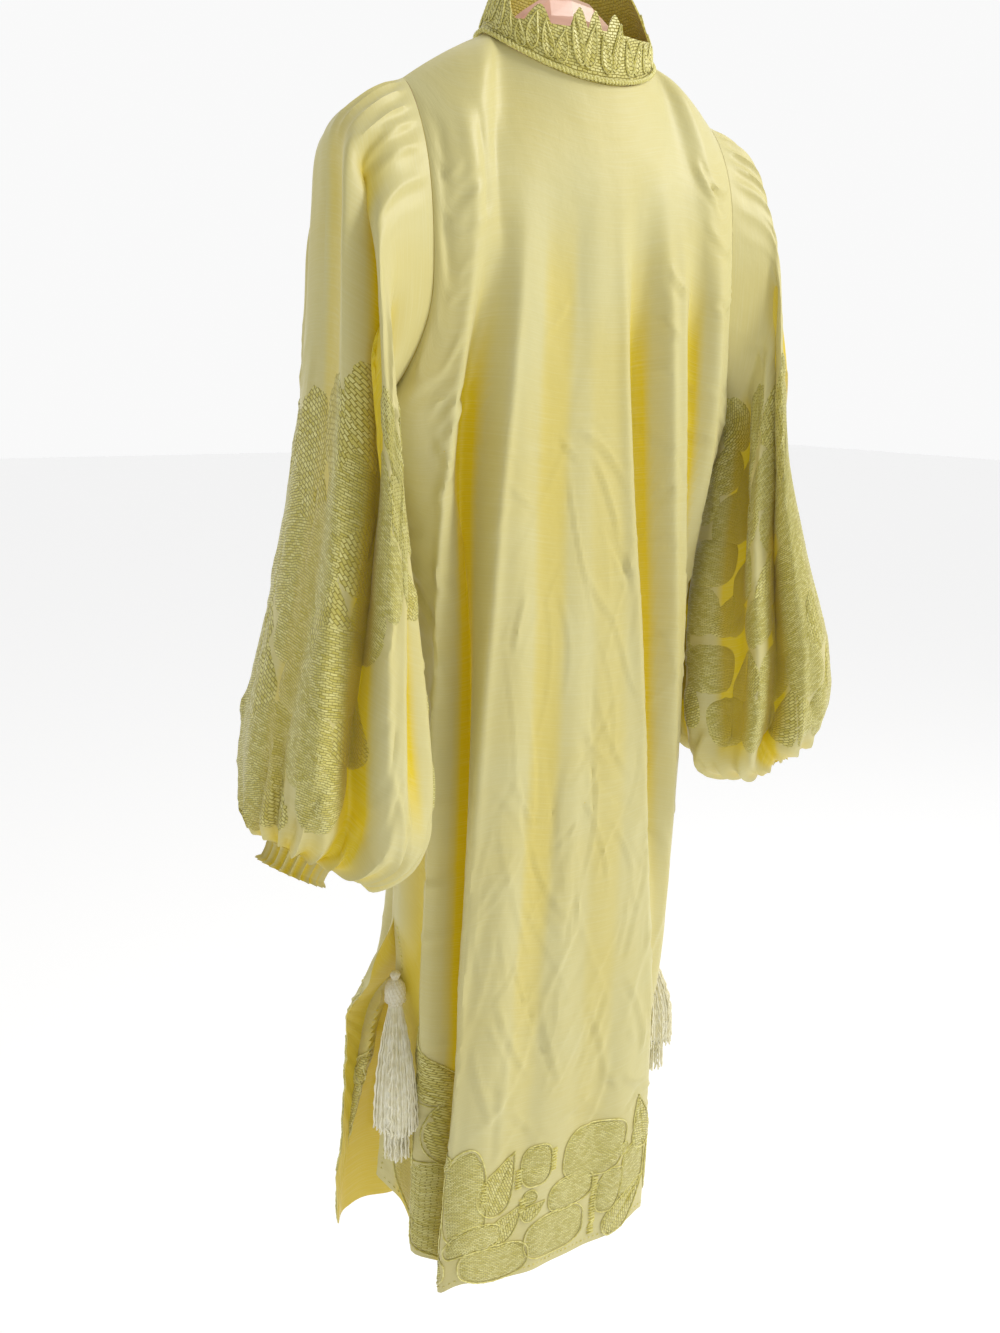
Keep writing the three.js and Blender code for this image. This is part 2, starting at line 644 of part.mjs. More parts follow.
function collarPoint(angle, z) {
  const a = angle * DEGREE;
  const halfWidth = curve(COLLAR_SIZE.z, COLLAR_SIZE.halfWidth, z);
  const halfDepth = curve(COLLAR_SIZE.z, COLLAR_SIZE.halfDepth, z);
  return new THREE.Vector3(halfWidth * Math.sin(a), -halfDepth * Math.cos(a), z);
}

function collarAngles() {
  const angles = [];
  const end = 180 - COLLAR_OPEN_ANGLE;
  for (let i = 0; i < 14; i += 1) angles.push(-end + (end - 56) * i / 14);
  for (let angle = -56; angle < 28; angle += 2.8) angles.push(angle);
  for (let i = 0; i <= 15; i += 1) angles.push(28 + (end - 28) * i / 15);
  return angles;
}

function collarGeometry() {
  const angles = collarAngles();
  const heights = [0, 0.4, 0.75, 1];
  const grid = heights.map((height) => angles.map((angle) => {
    const low = neckSeamZ(angle) + COLLAR_SEAM_GAP;
    return collarPoint(angle, low + (collarTopZ(angle) - low) * height);
  }));
  const normals = grid.map((row, i) => row.map((point, j) => {
    const a = angles[j] * DEGREE;
    return new THREE.Vector3(Math.sin(a) * 0.8, -Math.cos(a), i === 0 ? 0 : 0.25).normalize();
  }));
  const columns = angles.length;
  const cells = [];
  for (let i = 0; i < heights.length - 1; i += 1) {
    for (let j = 0; j < columns - 1; j += 1) {
      const a = i * columns + j;
      cells.push([a, a + 1, a + 1 + columns, a + columns]);
    }
  }
  return wallGeometry(grid.flat(), normals.flat(), COLLAR_WALL, cells);
}

// Round section for wires and cords that follow a curve
function roundSection(radius, sides) {
  const shape = new THREE.Shape();
  for (let i = 0; i < sides; i += 1) {
    const turn = i * 2 * Math.PI / sides;
    const place = [radius * Math.cos(turn), radius * Math.sin(turn)];
    if (i === 0) shape.moveTo(...place);
    else shape.lineTo(...place);
  }
  shape.closePath();
  return shape;
}

function wireGeometry(points, radius, sides, steps) {
  const path = new THREE.CatmullRomCurve3(points);
  const options = { steps, extrudePath: path, bevelEnabled: false };
  return new THREE.ExtrudeGeometry(roundSection(radius, sides), options);
}

// Piping cord that lies on the neck seam, outside the collar
function pipingGeometry() {
  const points = [];
  const clear = PIPING_RADIUS + 0.6;
  for (let angle = -178.5; angle <= 178.5; angle += 8.5) {
    const a = angle * DEGREE;
    const seam = collarPoint(angle, neckSeamZ(angle));
    const out = new THREE.Vector3(Math.sin(a), -Math.cos(a), 0);
    points.push(seam.addScaledVector(out, clear).add(new THREE.Vector3(0, 0, clear)));
  }
  return wireGeometry(points, PIPING_RADIUS, 5, 50);
}

// Hanger: rounded sections along its length under the shoulder seams
const HANGER = table(['x', 'top', 'halfHeight', 'halfDepth'], [
  [0, 40, 25, 9],
  [22, 37, 24, 9],
  [45, 22, 19, 8],
  [70, 2.5, 15, 7.5],
  [85, -4.9, 13, 7.5],
  [105, -14.3, 13, 8],
  [130, -28.6, 13, 8],
  [155, -45, 14, 8.5],
  [180, -59.4, 15, 9],
  [190, -66, 14, 8.5],
  [195, -74, 7, 5],
]);

function hangerGeometry() {
  const sides = 10;
  const rightHalf = HANGER.x.slice(1);
  const stations = [...rightHalf.map((x) => -x).reverse(), 0, ...rightHalf];
  const positions = [];
  const index = [];
  stations.forEach((x) => {
    const at = (name) => curve(HANGER.x, HANGER[name], Math.abs(x));
    for (let j = 0; j < sides; j += 1) {
      const turn = j * 2 * Math.PI / sides;
      const z = at('top') - at('halfHeight') * (1 - Math.cos(turn));
      positions.push(x, at('halfDepth') * Math.sin(turn), z);
    }
  });
  for (let i = 0; i < stations.length - 1; i += 1) {
    for (let j = 0; j < sides; j += 1) {
      const a = i * sides + j;
      const b = i * sides + (j + 1) % sides;
      index.push(a, b + sides, b, a, a + sides, b + sides);
    }
  }
  const last = (stations.length - 1) * sides;
  for (let j = 1; j < sides - 1; j += 1) {
    index.push(0, j, j + 1, last, last + j + 1, last + j);
  }
  const geometry = new THREE.BufferGeometry();
  geometry.setAttribute('position', new THREE.Float32BufferAttribute(positions, 3));
  geometry.setIndex(index);
  return geometry;
}

// Hook: a wire from the hanger's top that bends aside and round over the middle
function hookGeometry() {
  const foot = HANGER.top[0] + SEAM_GAP;
  const points = [[0, foot], [0, foot + 9], [8, foot + 21], [16.5, foot + 31]]
    .map(([x, z]) => new THREE.Vector3(x, 0, z));
  for (let angle = -12; angle <= 200; angle += 21.2) {
    const a = angle * DEGREE;
    const x = HOOK_BEND_RADIUS * Math.cos(a);
    points.push(new THREE.Vector3(x, 0, HOOK_BEND_HEIGHT + HOOK_BEND_RADIUS * Math.sin(a)));
  }
  return wireGeometry(points, HOOK_WIRE_RADIUS, 6, 34);
}

// Tassels: a turned head with a ball on top, and a skirt of strands in two lengths
const TASSEL_HEAD = table(['radius', 'z'], [
  [0, 0],
  [3.2, -1],
  [4.6, -4.2],
  [3.4, -7.6],
  [5.2, -9],
  [8.4, -13],
  [9.6, -19],
  [9.6, -25],
  [9.9, -27.5],
  [6, -29.5],
  [6.2, -32],
  [0, -32],
]);
const SKIRT_TOP = 30;
const SKIRT_LENGTH = 118;
const INNER_SKIRT_EXTRA = 30;
const SKIRT_TOP_RADIUS = 5.2;
const SKIRT_RADIUS = 20;
const STRAND_ROOT_RADIUS = 0.65;
const STRAND_TIP_RADIUS = 2;
const TASSEL_LEAN = new THREE.Vector3(-12, -22, 0);

function tasselAxis(depth) {
  return TASSEL_LEAN.clone().multiplyScalar(smooth(0, 110, depth));
}

function headGeometry() {
  const profile = TASSEL_HEAD.radius.map((radius, i) => new THREE.Vector2(radius, TASSEL_HEAD.z[i]));
  const geometry = new THREE.LatheGeometry(profile.reverse(), 12);
  geometry.rotateX(Math.PI / 2);
  const place = geometry.getAttribute('position');
  for (let i = 0; i < place.count; i += 1) {
    const shift = tasselAxis(-place.getZ(i));
    place.setXY(i, place.getX(i) + shift.x, place.getY(i) + shift.y);
  }
  return geometry;
}

function strandGeometry(k) {
  const share = Math.sqrt((k + 0.5) / TASSEL_STRANDS);
  const turn = k * Math.PI * (3 - Math.sqrt(5));
  const inner = share < 0.6;
  const length = SKIRT_LENGTH + (inner ? INNER_SKIRT_EXTRA : 0) - 7 * ((k * 0.618) % 1);
  const depths = [0, 0.3, 1].map((part) => SKIRT_TOP + part * length);
  const sides = 3;
  const positions = [];
  depths.forEach((depth) => {
    const part = (depth - SKIRT_TOP) / length;
    const spread = 1 - (1 - part) ** 2;
    const size = SKIRT_TOP_RADIUS + (SKIRT_RADIUS - SKIRT_TOP_RADIUS) * spread;
    const radius = STRAND_ROOT_RADIUS + (STRAND_TIP_RADIUS - STRAND_ROOT_RADIUS) * part;
    const shift = tasselAxis(depth);
    for (let j = 0; j < sides; j += 1) {
      const a = turn + j * 2 * Math.PI / sides;
      const x = shift.x + share * size * Math.cos(turn) + radius * Math.cos(a);
      const y = shift.y + share * size * Math.sin(turn) + radius * Math.sin(a);
      positions.push(x, y, -depth);
    }
  });
  const index = [0, 1, 2, 6, 8, 7];
  for (let i = 0; i < 2; i += 1) {
    for (let j = 0; j < sides; j += 1) {
      const a = i * sides + j;
      const b = i * sides + (j + 1) % sides;
      index.push(a, a + sides, b + sides, a, b + sides, b);
    }
  }
  const geometry = new THREE.BufferGeometry();
  geometry.setAttribute('position', new THREE.Float32BufferAttribute(positions, 3));
  geometry.setIndex(index);
  return geometry;
}

function asSolid(geometry) {
  const bare = new THREE.BufferGeometry();
  bare.setAttribute('position', geometry.getAttribute('position').clone());
  bare.setIndex(geometry.index);
  const merged = BufferGeometryUtils.mergeVertices(bare, 1e-4);
  return new wasm.Manifold(new wasm.Mesh({
    numProp: 3,
    vertProperties: merged.getAttribute('position').array,
    triVerts: new Uint32Array(merged.index.array),
  }));
}

function asGeometry(solid) {
  const mesh = solid.getMesh();
  const geometry = new THREE.BufferGeometry();
  geometry.setAttribute('position', new THREE.Float32BufferAttribute(mesh.vertProperties, 3));
  geometry.setIndex(Array.from(mesh.triVerts));
  return geometry;
}

function tasselGeometry(side) {
  let solid = asSolid(headGeometry());
  for (let k = 0; k < TASSEL_STRANDS; k += 1) {
    solid = solid.add(asSolid(strandGeometry(k)));
  }
  const geometry = asGeometry(solid);
  if (side > 0) {
    geometry.scale(-1, 1, 1);
    geometry.setIndex(Array.from(geometry.index.array).reverse());
  }
  return geometry;
}

// Materials and assembly

const PALE_YELLOW = 0xe3dfa4;
const STITCHED_YELLOW = 0xcdc667;
const IVORY = 0xe0dab4;
const WOOD = 0xc79a80;
const STEEL = 0xb8b8b4;

function cloth(color) {
  return new THREE.MeshStandardMaterial({ color, roughness: 0.55, metalness: 0, side: THREE.DoubleSide });
}

const wood = new THREE.MeshStandardMaterial({ color: WOOD, roughness: 0.5, metalness: 0 });
const steel = new THREE.MeshStandardMaterial({ color: STEEL, roughness: 0.3, metalness: 1 });

const garment = new THREE.Group();

function addPiece(name, geometry, material) {
  const mesh = new THREE.Mesh(geometry, material);
  mesh.name = name;
  garment.add(mesh);
  return mesh;
}

addPiece('front_panel', panelGeometry(-1, FRONT_FOLDS, FRONT_COLUMNS, 0), cloth(PALE_YELLOW));
addPiece('back_panel', panelGeometry(1, BACK_FOLDS, BACK_COLUMNS, BACK_OPENING_LENGTH), cloth(PALE_YELLOW));
addPiece('sleeve_left', sleeveGeometry(-1, LEFT_SLEEVE_FOLDS, SLEEVE_RINGS), cloth(PALE_YELLOW));
addPiece('sleeve_right', sleeveGeometry(1, RIGHT_SLEEVE_FOLDS, UPPER_RINGS), cloth(PALE_YELLOW));
addPiece('sleeve_right_lower', sleeveGeometry(1, RIGHT_SLEEVE_FOLDS, LOWER_RINGS), cloth(PALE_YELLOW));
addPiece('cuff_left', cuffGeometry(-1), cloth(PALE_YELLOW));
addPiece('cuff_right', cuffGeometry(1), cloth(PALE_YELLOW));
addPiece('collar', collarGeometry(), cloth(STITCHED_YELLOW));
addPiece('neck_piping', pipingGeometry(), cloth(STITCHED_YELLOW));
addPiece('hanger', hangerGeometry(), wood);
addPiece('hanger_hook', hookGeometry(), steel);

addPiece('tassel_left', tasselGeometry(-1), cloth(IVORY)).position.set(-141.2, 40, TASSEL_TOP_Z);
addPiece('tassel_right', tasselGeometry(1), cloth(IVORY)).position.set(145.2, 40, TASSEL_TOP_Z);

garment.position.z = -HOOK_RISE;

export default garment;
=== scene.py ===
"""Looks of a pale yellow kaftan that hangs on a wooden hanger.

Cloth is worked out in millimetres in the garment's own frame, where z is 0 at the neck points
and the front faces -Y, and goes into metres in the row frame when a mesh is made.
"""

import functools
import math

import bpy
import numpy as np
from mathutils import Matrix, Vector


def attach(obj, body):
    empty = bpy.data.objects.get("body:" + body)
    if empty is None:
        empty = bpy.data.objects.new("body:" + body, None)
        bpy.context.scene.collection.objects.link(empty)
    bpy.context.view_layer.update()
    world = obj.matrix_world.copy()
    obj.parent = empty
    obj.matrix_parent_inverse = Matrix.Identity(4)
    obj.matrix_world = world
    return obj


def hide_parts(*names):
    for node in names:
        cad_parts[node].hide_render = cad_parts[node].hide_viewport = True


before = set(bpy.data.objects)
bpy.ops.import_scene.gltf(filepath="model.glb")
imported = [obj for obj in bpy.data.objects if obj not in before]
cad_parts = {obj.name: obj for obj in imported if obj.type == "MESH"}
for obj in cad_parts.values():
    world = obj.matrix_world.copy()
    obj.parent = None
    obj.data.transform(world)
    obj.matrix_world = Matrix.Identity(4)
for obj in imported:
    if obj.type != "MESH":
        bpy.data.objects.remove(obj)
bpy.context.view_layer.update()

bl_info = {
    "name": "Kaftan on a hanger",
    "version": (1, 0, 0),
    "blender": (4, 5, 0),
    "location": "View3D > Sidebar > Kaftan",
    "description": "Makes the cloth, embroidery, tassels and hanger finish of a kaftan",
    "category": "Add Mesh",
}

MM = 0.001
DEGREE = math.pi / 180

# Driving dimensions, in millimetres as in the frame's own source
GARMENT_LENGTH = 1105
WALL = 1.2
COLLAR_WALL = 1.5
SEAM_GAP = 0.3
SLEEVE_SEAM_GAP = 0.4
NECK_HALF_WIDTH = 80
NECK_HALF_DEPTH = 52
NECK_DIP_FRONT = 36
NECK_DIP_BACK = 6
SHOULDER_HALF_WIDTH = 155
SHOULDER_DROP = 42
ARMHOLE_BOTTOM = 300
SLIT_TOP = 805
HEM_CORNER_RADIUS = 60
HEM_HALF_WIDTH = 250
FRONT_HEM_WAVE = 6
BACK_HEM_WAVE = 4
BACK_OPENING_LENGTH = 178
BACK_OPENING_GAP = 0.5
GATHERS = 22
GATHER_DEPTH = 4
CUFF_LENGTH = 18
CUFF_PLEAT_DEPTH = 2.2
PIPING_RADIUS = 2
TASSEL_TOP_Z = -803
HOOK_RISE = 102.1
HEM_Z = -GARMENT_LENGTH


# Small mathematics


def table(columns, rows):
    """Columns by name, as arrays."""
    return {name: np.array([row[i] for row in rows], float) for i, name in enumerate(columns)}


def smooth(low, high, x):
    """0 below low, 1 above high, and three t squared less two t cubed between."""
    t = np.clip((x - low) / (high - low), 0, 1)
    return t * t * (3 - 2 * t)


def curve(xs, ys, x):
    """Cubic through (xs, ys) whose slopes are a weighted mean of the chords, 0 at a turn, so
    that it never passes a highest or lowest value. ys may hold one number or an array a knot."""
    xs, ys = np.asarray(xs, float), np.asarray(ys, float)
    x = np.clip(np.asarray(x, float), xs[0], xs[-1])
    extra = (1,) * (ys.ndim - 1)
    h = np.diff(xs).reshape(-1, *extra)
    chord = np.diff(ys, axis=0) / h
    before, after = chord[:-1], chord[1:]
    mean = (before * h[1:] + after * h[:-1]) / (h[:-1] + h[1:])
    slope = np.concatenate([chord[:1], np.where(before * after > 0, mean, 0), chord[-1:]])
    k = np.clip(np.searchsorted(xs, x, side="right") - 1, 0, len(xs) - 2)
    t = ((x - xs[k]) / np.diff(xs)[k]).reshape(*x.shape, *extra)
    t2, t3 = t * t, t * t * t
    return (
        (2 * t3 - 3 * t2 + 1) * ys[k]
        + (t3 - 2 * t2 + t) * h[k] * slope[k]
        + (3 * t2 - 2 * t3) * ys[k + 1]
        + (t3 - t2) * h[k] * slope[k + 1]
    )


def unit(v):
    return v / np.maximum(np.linalg.norm(v, axis=-1, keepdims=True), 1e-9)


def grid_normals(grid, closed, side):
    """Cross product of the central differences along and down a grid, turned by side."""
    if closed:
        across = np.roll(grid, -1, axis=1) - np.roll(grid, 1, axis=1)
    else:
        across = np.gradient(grid, axis=1)
    return unit(np.cross(across, np.gradient(grid, axis=0)) * side)


def by_rows(places, s, values):
    """Values along s, read at places, row by row."""
    return np.stack([np.interp(p, a, v) for p, a, v in zip(places, s, values)])


# Body of the kaftan: superellipse halves from a table of heights

BODY = table(
    ["z", "left", "right", "front", "back", "frontEdge", "edgeGap", "square", "backLeft", "backRight"],
    [
        [-1110, -140, 128, -40, 138, 88, 22, 6.0, -174, 160],
        [-1000, -138, 128, -47, 130, 78, 26, 5.6, -171, 160],
        [-920, -136, 130, -52, 120, 68, 30, 5.0, -166, 158],
        [-860, -138, 134, -56, 112, 58, 26, 4.4, -158, 152],
        [-800, -141, 138, -58, 104, 48, SEAM_GAP, 3.8, -142, 139],
        [-720, -140, 140, -62, 94, 42, SEAM_GAP, 3.4, -140, 140],
        [-600, -140, 142, -66, 84, 32, SEAM_GAP, 3.1, -140, 142],
        [-480, -144, 146, -66, 76, 20, SEAM_GAP, 3.0, -144, 146],
        [-380, -160, 158, -64, 70, 10, SEAM_GAP, 2.9, -160, 158],
        [-300, -184, 182, -63, 63, 2, SEAM_GAP, 2.8, -184, 182],
        [-265, -170, 168, -63, 60, -26, 52, 2.7, -170, 168],
        [-220, -156, 156, -63, 57, -42, 82, 2.6, -156, 156],
        [-170, -153, 153, -62, 54, -46, 90, 2.5, -153, 153],
        [-110, -154, 154, -60, 50, -42, 82, 2.4, -154, 154],
        [-42, -155, 155, -54, 46, -24, 48, 2.4, -155, 155],
    ],
)
MOST_SQUARE_BACK = 3.6
SHOULDER_ROUNDING = 22
SHOULDER_FULLNESS = 0.7
NECK_ROUNDING = 60
WIDTH_ROUNDING = 70


def top_line(u, face):
    """Neck and shoulder line: half an ellipse to the neck point at 0.5, then the shoulder's fall."""
    a, sign = np.abs(u), np.sign(u)
    turn = np.minimum(a, 0.5) * math.pi
    dip = NECK_DIP_FRONT if face < 0 else NECK_DIP_BACK
    t = np.maximum(a - 0.5, 0) / 0.5
    neck = a <= 0.5
    reach = NECK_HALF_WIDTH + (SHOULDER_HALF_WIDTH - NECK_HALF_WIDTH) * t
    x = sign * np.where(neck, NECK_HALF_WIDTH * np.sin(turn), reach)
    y = face * (np.where(neck, NECK_HALF_DEPTH * np.cos(turn), 0) + SEAM_GAP / 2)
    low = -dip * np.maximum(np.cos(turn), 0) ** 1.3
    z = np.where(neck, low, -SHOULDER_DROP * (0.75 * t + 0.25 * t * t))
    return x, y, z


def hem_line(u, face):
    """Hem height: a quarter circle up to each slit, less a slow wave."""
    past = np.abs(u) * HEM_HALF_WIDTH - (HEM_HALF_WIDTH - HEM_CORNER_RADIUS)
    d = np.maximum(past, 0) / HEM_CORNER_RADIUS
    rise = HEM_CORNER_RADIUS * (1 - np.sqrt(np.maximum(1 - d * d, 0)))
    if face < 0:
        return HEM_Z + rise - FRONT_HEM_WAVE * np.cos(3 * math.pi * u)
    return HEM_Z + rise - BACK_HEM_WAVE * np.cos(2.5 * math.pi * u)


def body_point(u, z, face):
    """Unfolded body: each half is a superellipse between its edge and its far side, eased in
    from the neck and shoulder line by one less an exponential of the drop."""
    top_x, top_y, top_z = top_line(u, face)
    size = {name: curve(BODY["z"], values, z) for name, values in BODY.items() if name != "z"}
    left, right = (size["left"], size["right"]) if face < 0 else (size["backLeft"], size["backRight"])
    edge = size["frontEdge"] + (0 if face < 0 else size["edgeGap"])
    far = size["front"] if face < 0 else size["back"]
    square = size["square"] if face < 0 else np.minimum(size["square"], MOST_SQUARE_BACK)
    turn = u * math.pi / 2
    across = np.sign(turn) * np.abs(np.sin(turn)) ** (2 / square)
    out = np.maximum(np.cos(turn), 0) ** (2 / square)
    x = (left + right) / 2 + (right - left) / 2 * across
    y = edge + (far - edge) * out
    drop = np.maximum(top_z - z, 0)
    neck = 1 - smooth(0.35, 0.6, np.abs(u))
    over_shoulder = (1 - np.exp(-drop / SHOULDER_ROUNDING)) ** SHOULDER_FULLNESS
    ease_y = over_shoulder * (1 - neck) + (1 - np.exp(-drop / NECK_ROUNDING)) * neck
    ease_x = 1 - np.exp(-drop / WIDTH_ROUNDING)
    return np.stack([top_x + (x - top_x) * ease_x, top_y + (y - top_y) * ease_y, z + 0 * u], axis=-1)


FOLD_COLUMNS = ["s150", "s500", "s1000", "depth", "width", "start", "full", "fade", "end"]
FRONT_FOLDS = table(FOLD_COLUMNS, [
    [-100, -131, -150, 44, 15, -110, -330, -960, -1290],
    [-40, -48, -60, 6, 22, -60, -200, -700, -1100],
    [44, 76, 140, 30, 17, -80, -300, -520, -800],
    [4, 16, 30, 3, 26, -80, -300, -800, -1100],
    [108, 140, 190, 18, 14, -110, -260, -700, -1100],
    [-150, -178, -196, 12, 24, -300, -800, -1100, -1400],
])
BACK_FOLDS = table(FOLD_COLUMNS, [
    [-90, -130, -170, 34, 16, -120, -340, -900, -1100],
    [-20, -30, -50, 22, 18, -230, -420, -900, -1100],
    [60, 84, 100, 28, 17, -120, -340, -900, -1100],
    [125, 165, 200, 24, 15, -120, -300, -900, -1100],
    [-140, -180, -186, -26, 26, -560, -760, -800, -900],
    [140, 180, 186, -18, 26, -560, -760, -800, -900],
])
FOLD_LEFT_AT_HEM = 0.4


def fold_shape(off):
    """Flat-bottomed bell: e to the minus 2.6th power of the distance from the fold's middle."""
    return np.exp(-np.abs(off) ** 2.6)


def panel_fold(folds, k, place, z):
    """Fold k's strength at each height and the distance from its middle in fold widths."""
    middle = curve([-1000, -500, -150], [folds["s1000"][k], folds["s500"][k], folds["s150"][k]], z)
    grown = smooth(-folds["start"][k], -folds["full"][k], -z)
    faded = smooth(-folds["fade"][k], -folds["end"][k], -z) * (1 - FOLD_LEFT_AT_HEM)
    strength = grown * (1 - faded)
    return strength, (place - middle) / folds["width"][k]


# Sleeves: rings from the armhole (0) to the gathered wrist (12), given for the sleeve at -X

SLEEVE = table(
    ["ring", "outX", "outZ", "inX", "inZ", "front", "back"],
    [
        [1, -188, -58, -188, -312, -56, 54],
        [2, -219, -86, -186, -342, -65, 58],
        [3, -226, -140, -182, -380, -72, 62],
        [4, -231, -215, -176, -420, -78, 66],
        [5, -239, -295, -169, -462, -84, 69],
        [6, -254, -375, -163, -508, -90, 71],
        [7, -272, -450, -158, -554, -95, 71],
        [8, -291, -512, -154, -600, -99, 69],
        [9, -302, -560, -156, -640, -98, 63],
        [10, -305, -594, -170, -668, -88, 50],
        [11, -300, -616, -200, -677, -70, 28],
        [12, -287, -628, -236, -658, -42, 2],
    ],
)
LAST_RING = 12
RIGHT_FORWARD = -26
RIGHT_IN = 16
RIGHT_UP = 35
RIGHT_SLIM = 13
RIGHT_CLOSE = 6
RIGHT_WRIST_SLIM = 9
SLEEVE_FOLD_COLUMNS = ["a2", "a6", "a10", "depth", "width", "start", "full", "fade", "end"]
SLEEVE_FOLDS = {
    -1: table(SLEEVE_FOLD_COLUMNS, [
        [48, 58, 80, 34, 13, 0.8, 3, 9.5, 11.5],
        [112, 118, 124, 16, 14, 0.6, 2, 7, 9.5],
        [12, 16, 20, 5, 12, 1, 3, 9, 11],
        [190, 196, 200, 20, 14, 1, 3, 9, 11],
        [262, 258, 250, 26, 15, 1, 3, 9, 11],
        [320, 316, 312, 14, 14, 1, 3, 9, 11],
    ]),
    1: table(SLEEVE_FOLD_COLUMNS, [
        [92, 108, 122, 30, 12, 0.8, 3, 9.5, 11.5],
        [150, 150, 150, 18, 14, 0.6, 2, 8, 10],
        [40, 44, 50, 8, 14, 1, 3, 9, 11],
        [205, 205, 205, 20, 14, 1, 3, 9, 11],
        [262, 258, 250, 26, 15, 1, 3, 9, 11],
        [320, 316, 312, 14, 14, 1, 3, 9, 11],
    ]),
}


def armhole_points(angles, side):
    """Armhole rim, down its height by one less a cosine."""
    z = -SHOULDER_DROP - (ARMHOLE_BOTTOM - SHOULDER_DROP) * (1 - np.cos(angles)) / 2
    whole = np.full_like(angles, side, float)
    front, back = body_point(whole, z, -1), body_point(whole, z, 1)
    points = np.where((np.sin(angles) > 0)[:, None], front, back)
    points[:, 0] += side * SLEEVE_SEAM_GAP
    return points


def ring_points(k, angles, side):
    """One ring: an ellipse tilted between its outer and inner ends."""
    s = {name: values[k] for name, values in SLEEVE.items()}
    right = 1 if side > 0 else 0
    low = right * smooth(3, 10, s["ring"])
    high = right * smooth(1, 2.4, s["ring"]) * (1 - smooth(4.5, 7.5, s["ring"]))
    in_x = s["inX"] + low * RIGHT_IN + high * RIGHT_CLOSE
    out_x = s["outX"] + low * RIGHT_IN + high * (RIGHT_CLOSE + RIGHT_SLIM)
    out_x += right * RIGHT_WRIST_SLIM * smooth(8.5, 10, s["ring"])
    x = -side * ((out_x + in_x) / 2 + (out_x - in_x) / 2 * np.cos(angles))
    y = (s["front"] + s["back"]) / 2 + low * RIGHT_FORWARD - (s["back"] - s["front"]) / 2 * np.sin(angles)
    z = (s["outZ"] + s["inZ"]) / 2 + low * RIGHT_UP + (s["outZ"] - s["inZ"]) / 2 * np.cos(angles)
    return np.stack([x, y, z], axis=-1)


def wrist(side):
    """Middle of the wrist's ring, and the unit vector along the wrist, out of the sleeve."""
    outer, inner = ring_points(LAST_RING - 1, np.array([0, math.pi]), side)
    across = unit(outer - inner)
    return (outer + inner) / 2, np.array([side * abs(across[2]), 0, -abs(across[0])])


def wrist_radial(points, side):
    middle, axis = wrist(side)
    out = points - middle
    return unit(out - (out @ axis)[..., None] * axis)


def angle_off(angles, degrees):
    """Turn from degrees to the angle, between -180 and 180."""
    return (angles / DEGREE - degrees + 540) % 360 - 180


# Creases: ridges with a softer trough beside them, in millimetres of cloth

CREASE_COLUMNS = ["x0", "y0", "x1", "y1", "height", "width", "bow"]


def crease_relief(x, y, creases):
    """Sum over the creases of height times a peaked ridge less a soft trough at its side, faded
    towards both ends; bow bends the ridge's line by that share of its length."""
    total = np.zeros_like(x)
    for x0, y0, x1, y1, height, width, bow in zip(*(creases[c] for c in CREASE_COLUMNS)):
        length = math.hypot(x1 - x0, y1 - y0)
        dx, dy = (x1 - x0) / length, (y1 - y0) / length
        t = ((x - x0) * dx + (y - y0) * dy) / length
        off = ((x - x0) * dy - (y - y0) * dx - 4 * bow * length * t * (1 - t)) / width
        ends = smooth(0, 0.3, t) * (1 - smooth(0.7, 1, t))
        total += height * ends * (np.exp(-np.abs(off) ** 1.3) - 0.5 * np.exp(-((off - 1.7) ** 2)))
    return total


def scattered_creases(seed, count, across, up, turn, spread, length, height, width):
    """Creases at random places of a region, about the turn given in degrees from level."""
    rng = np.random.default_rng(seed)
    x, y = rng.uniform(*across, count), rng.uniform(*up, count)
    a = (turn + spread * rng.normal(size=count)) * DEGREE
    half = rng.uniform(*length, count) / 2
    return {
        "x0": x - half * np.cos(a), "y0": y - half * np.sin(a),
        "x1": x + half * np.cos(a), "y1": y + half * np.sin(a),
        "height": rng.uniform(*height, count) * rng.choice([-1, 1, 1], count),
        "width": rng.uniform(*width, count),
        "bow": rng.uniform(-0.12, 0.12, count),
    }


def joined(*tables):
    return {name: np.concatenate([t[name] for t in tables]) for name in tables[0]}


# Finished cloth surfaces: grids of points and normals with the place of each point on the cloth


class Surface:
    """Cloth on a grid. x runs across or around and y up the cloth in millimetres, the shade share says how
    much painted shade a point gets, from 0 to 1, mostly by how deep in a fold it lies, and side turns the
    faces outward."""

    def __init__(self, points, normals, x, y, painted_shade, closed, side):
        self.points, self.normals, self.x, self.y = points, normals, x, y
        self.painted_shade, self.closed, self.side = painted_shade, closed, side


PANEL_ROWS = 250
FRONT_COLUMNS = 152
BACK_COLUMNS = 120
SLEEVE_ROWS = 150
SLEEVE_COLUMNS = 220
MM_A_DEGREE = 1.65
ROW_SAMPLES = 120
RIDGE_SHARE = 0.1
FLUTES = {-1: 1.1, 1: 1.6}
# Painted shade: the inner face of every wall gets at least the first share, and the back's fold shade is
# scaled by the second.
INNER_SHADE = 0.5
BACK_PAINTED_SHADE = 0.4


def ridge_lips(fold, off):
    """A low lip on both sides of a fold, which makes its edges crisp."""
    return fold * RIDGE_SHARE * np.exp(-(((np.abs(off) - 1.5) / 0.4) ** 2))


def soft_flutes(x, y, seed, height):
    """Sum of four sines that run down the cloth and drift sideways with height."""
    rng = np.random.default_rng(seed)
    total = np.zeros_like(x)
    for wave in (118, 83, 61, 44):
        drift = rng.uniform(-0.12, 0.12)
        turn = (x + drift * y) / wave * 2 * math.pi + rng.uniform(0, 6) + np.sin(y / 170 + rng.uniform(0, 6))
        total += np.sin(turn) * wave / 80
    return total * height / 2


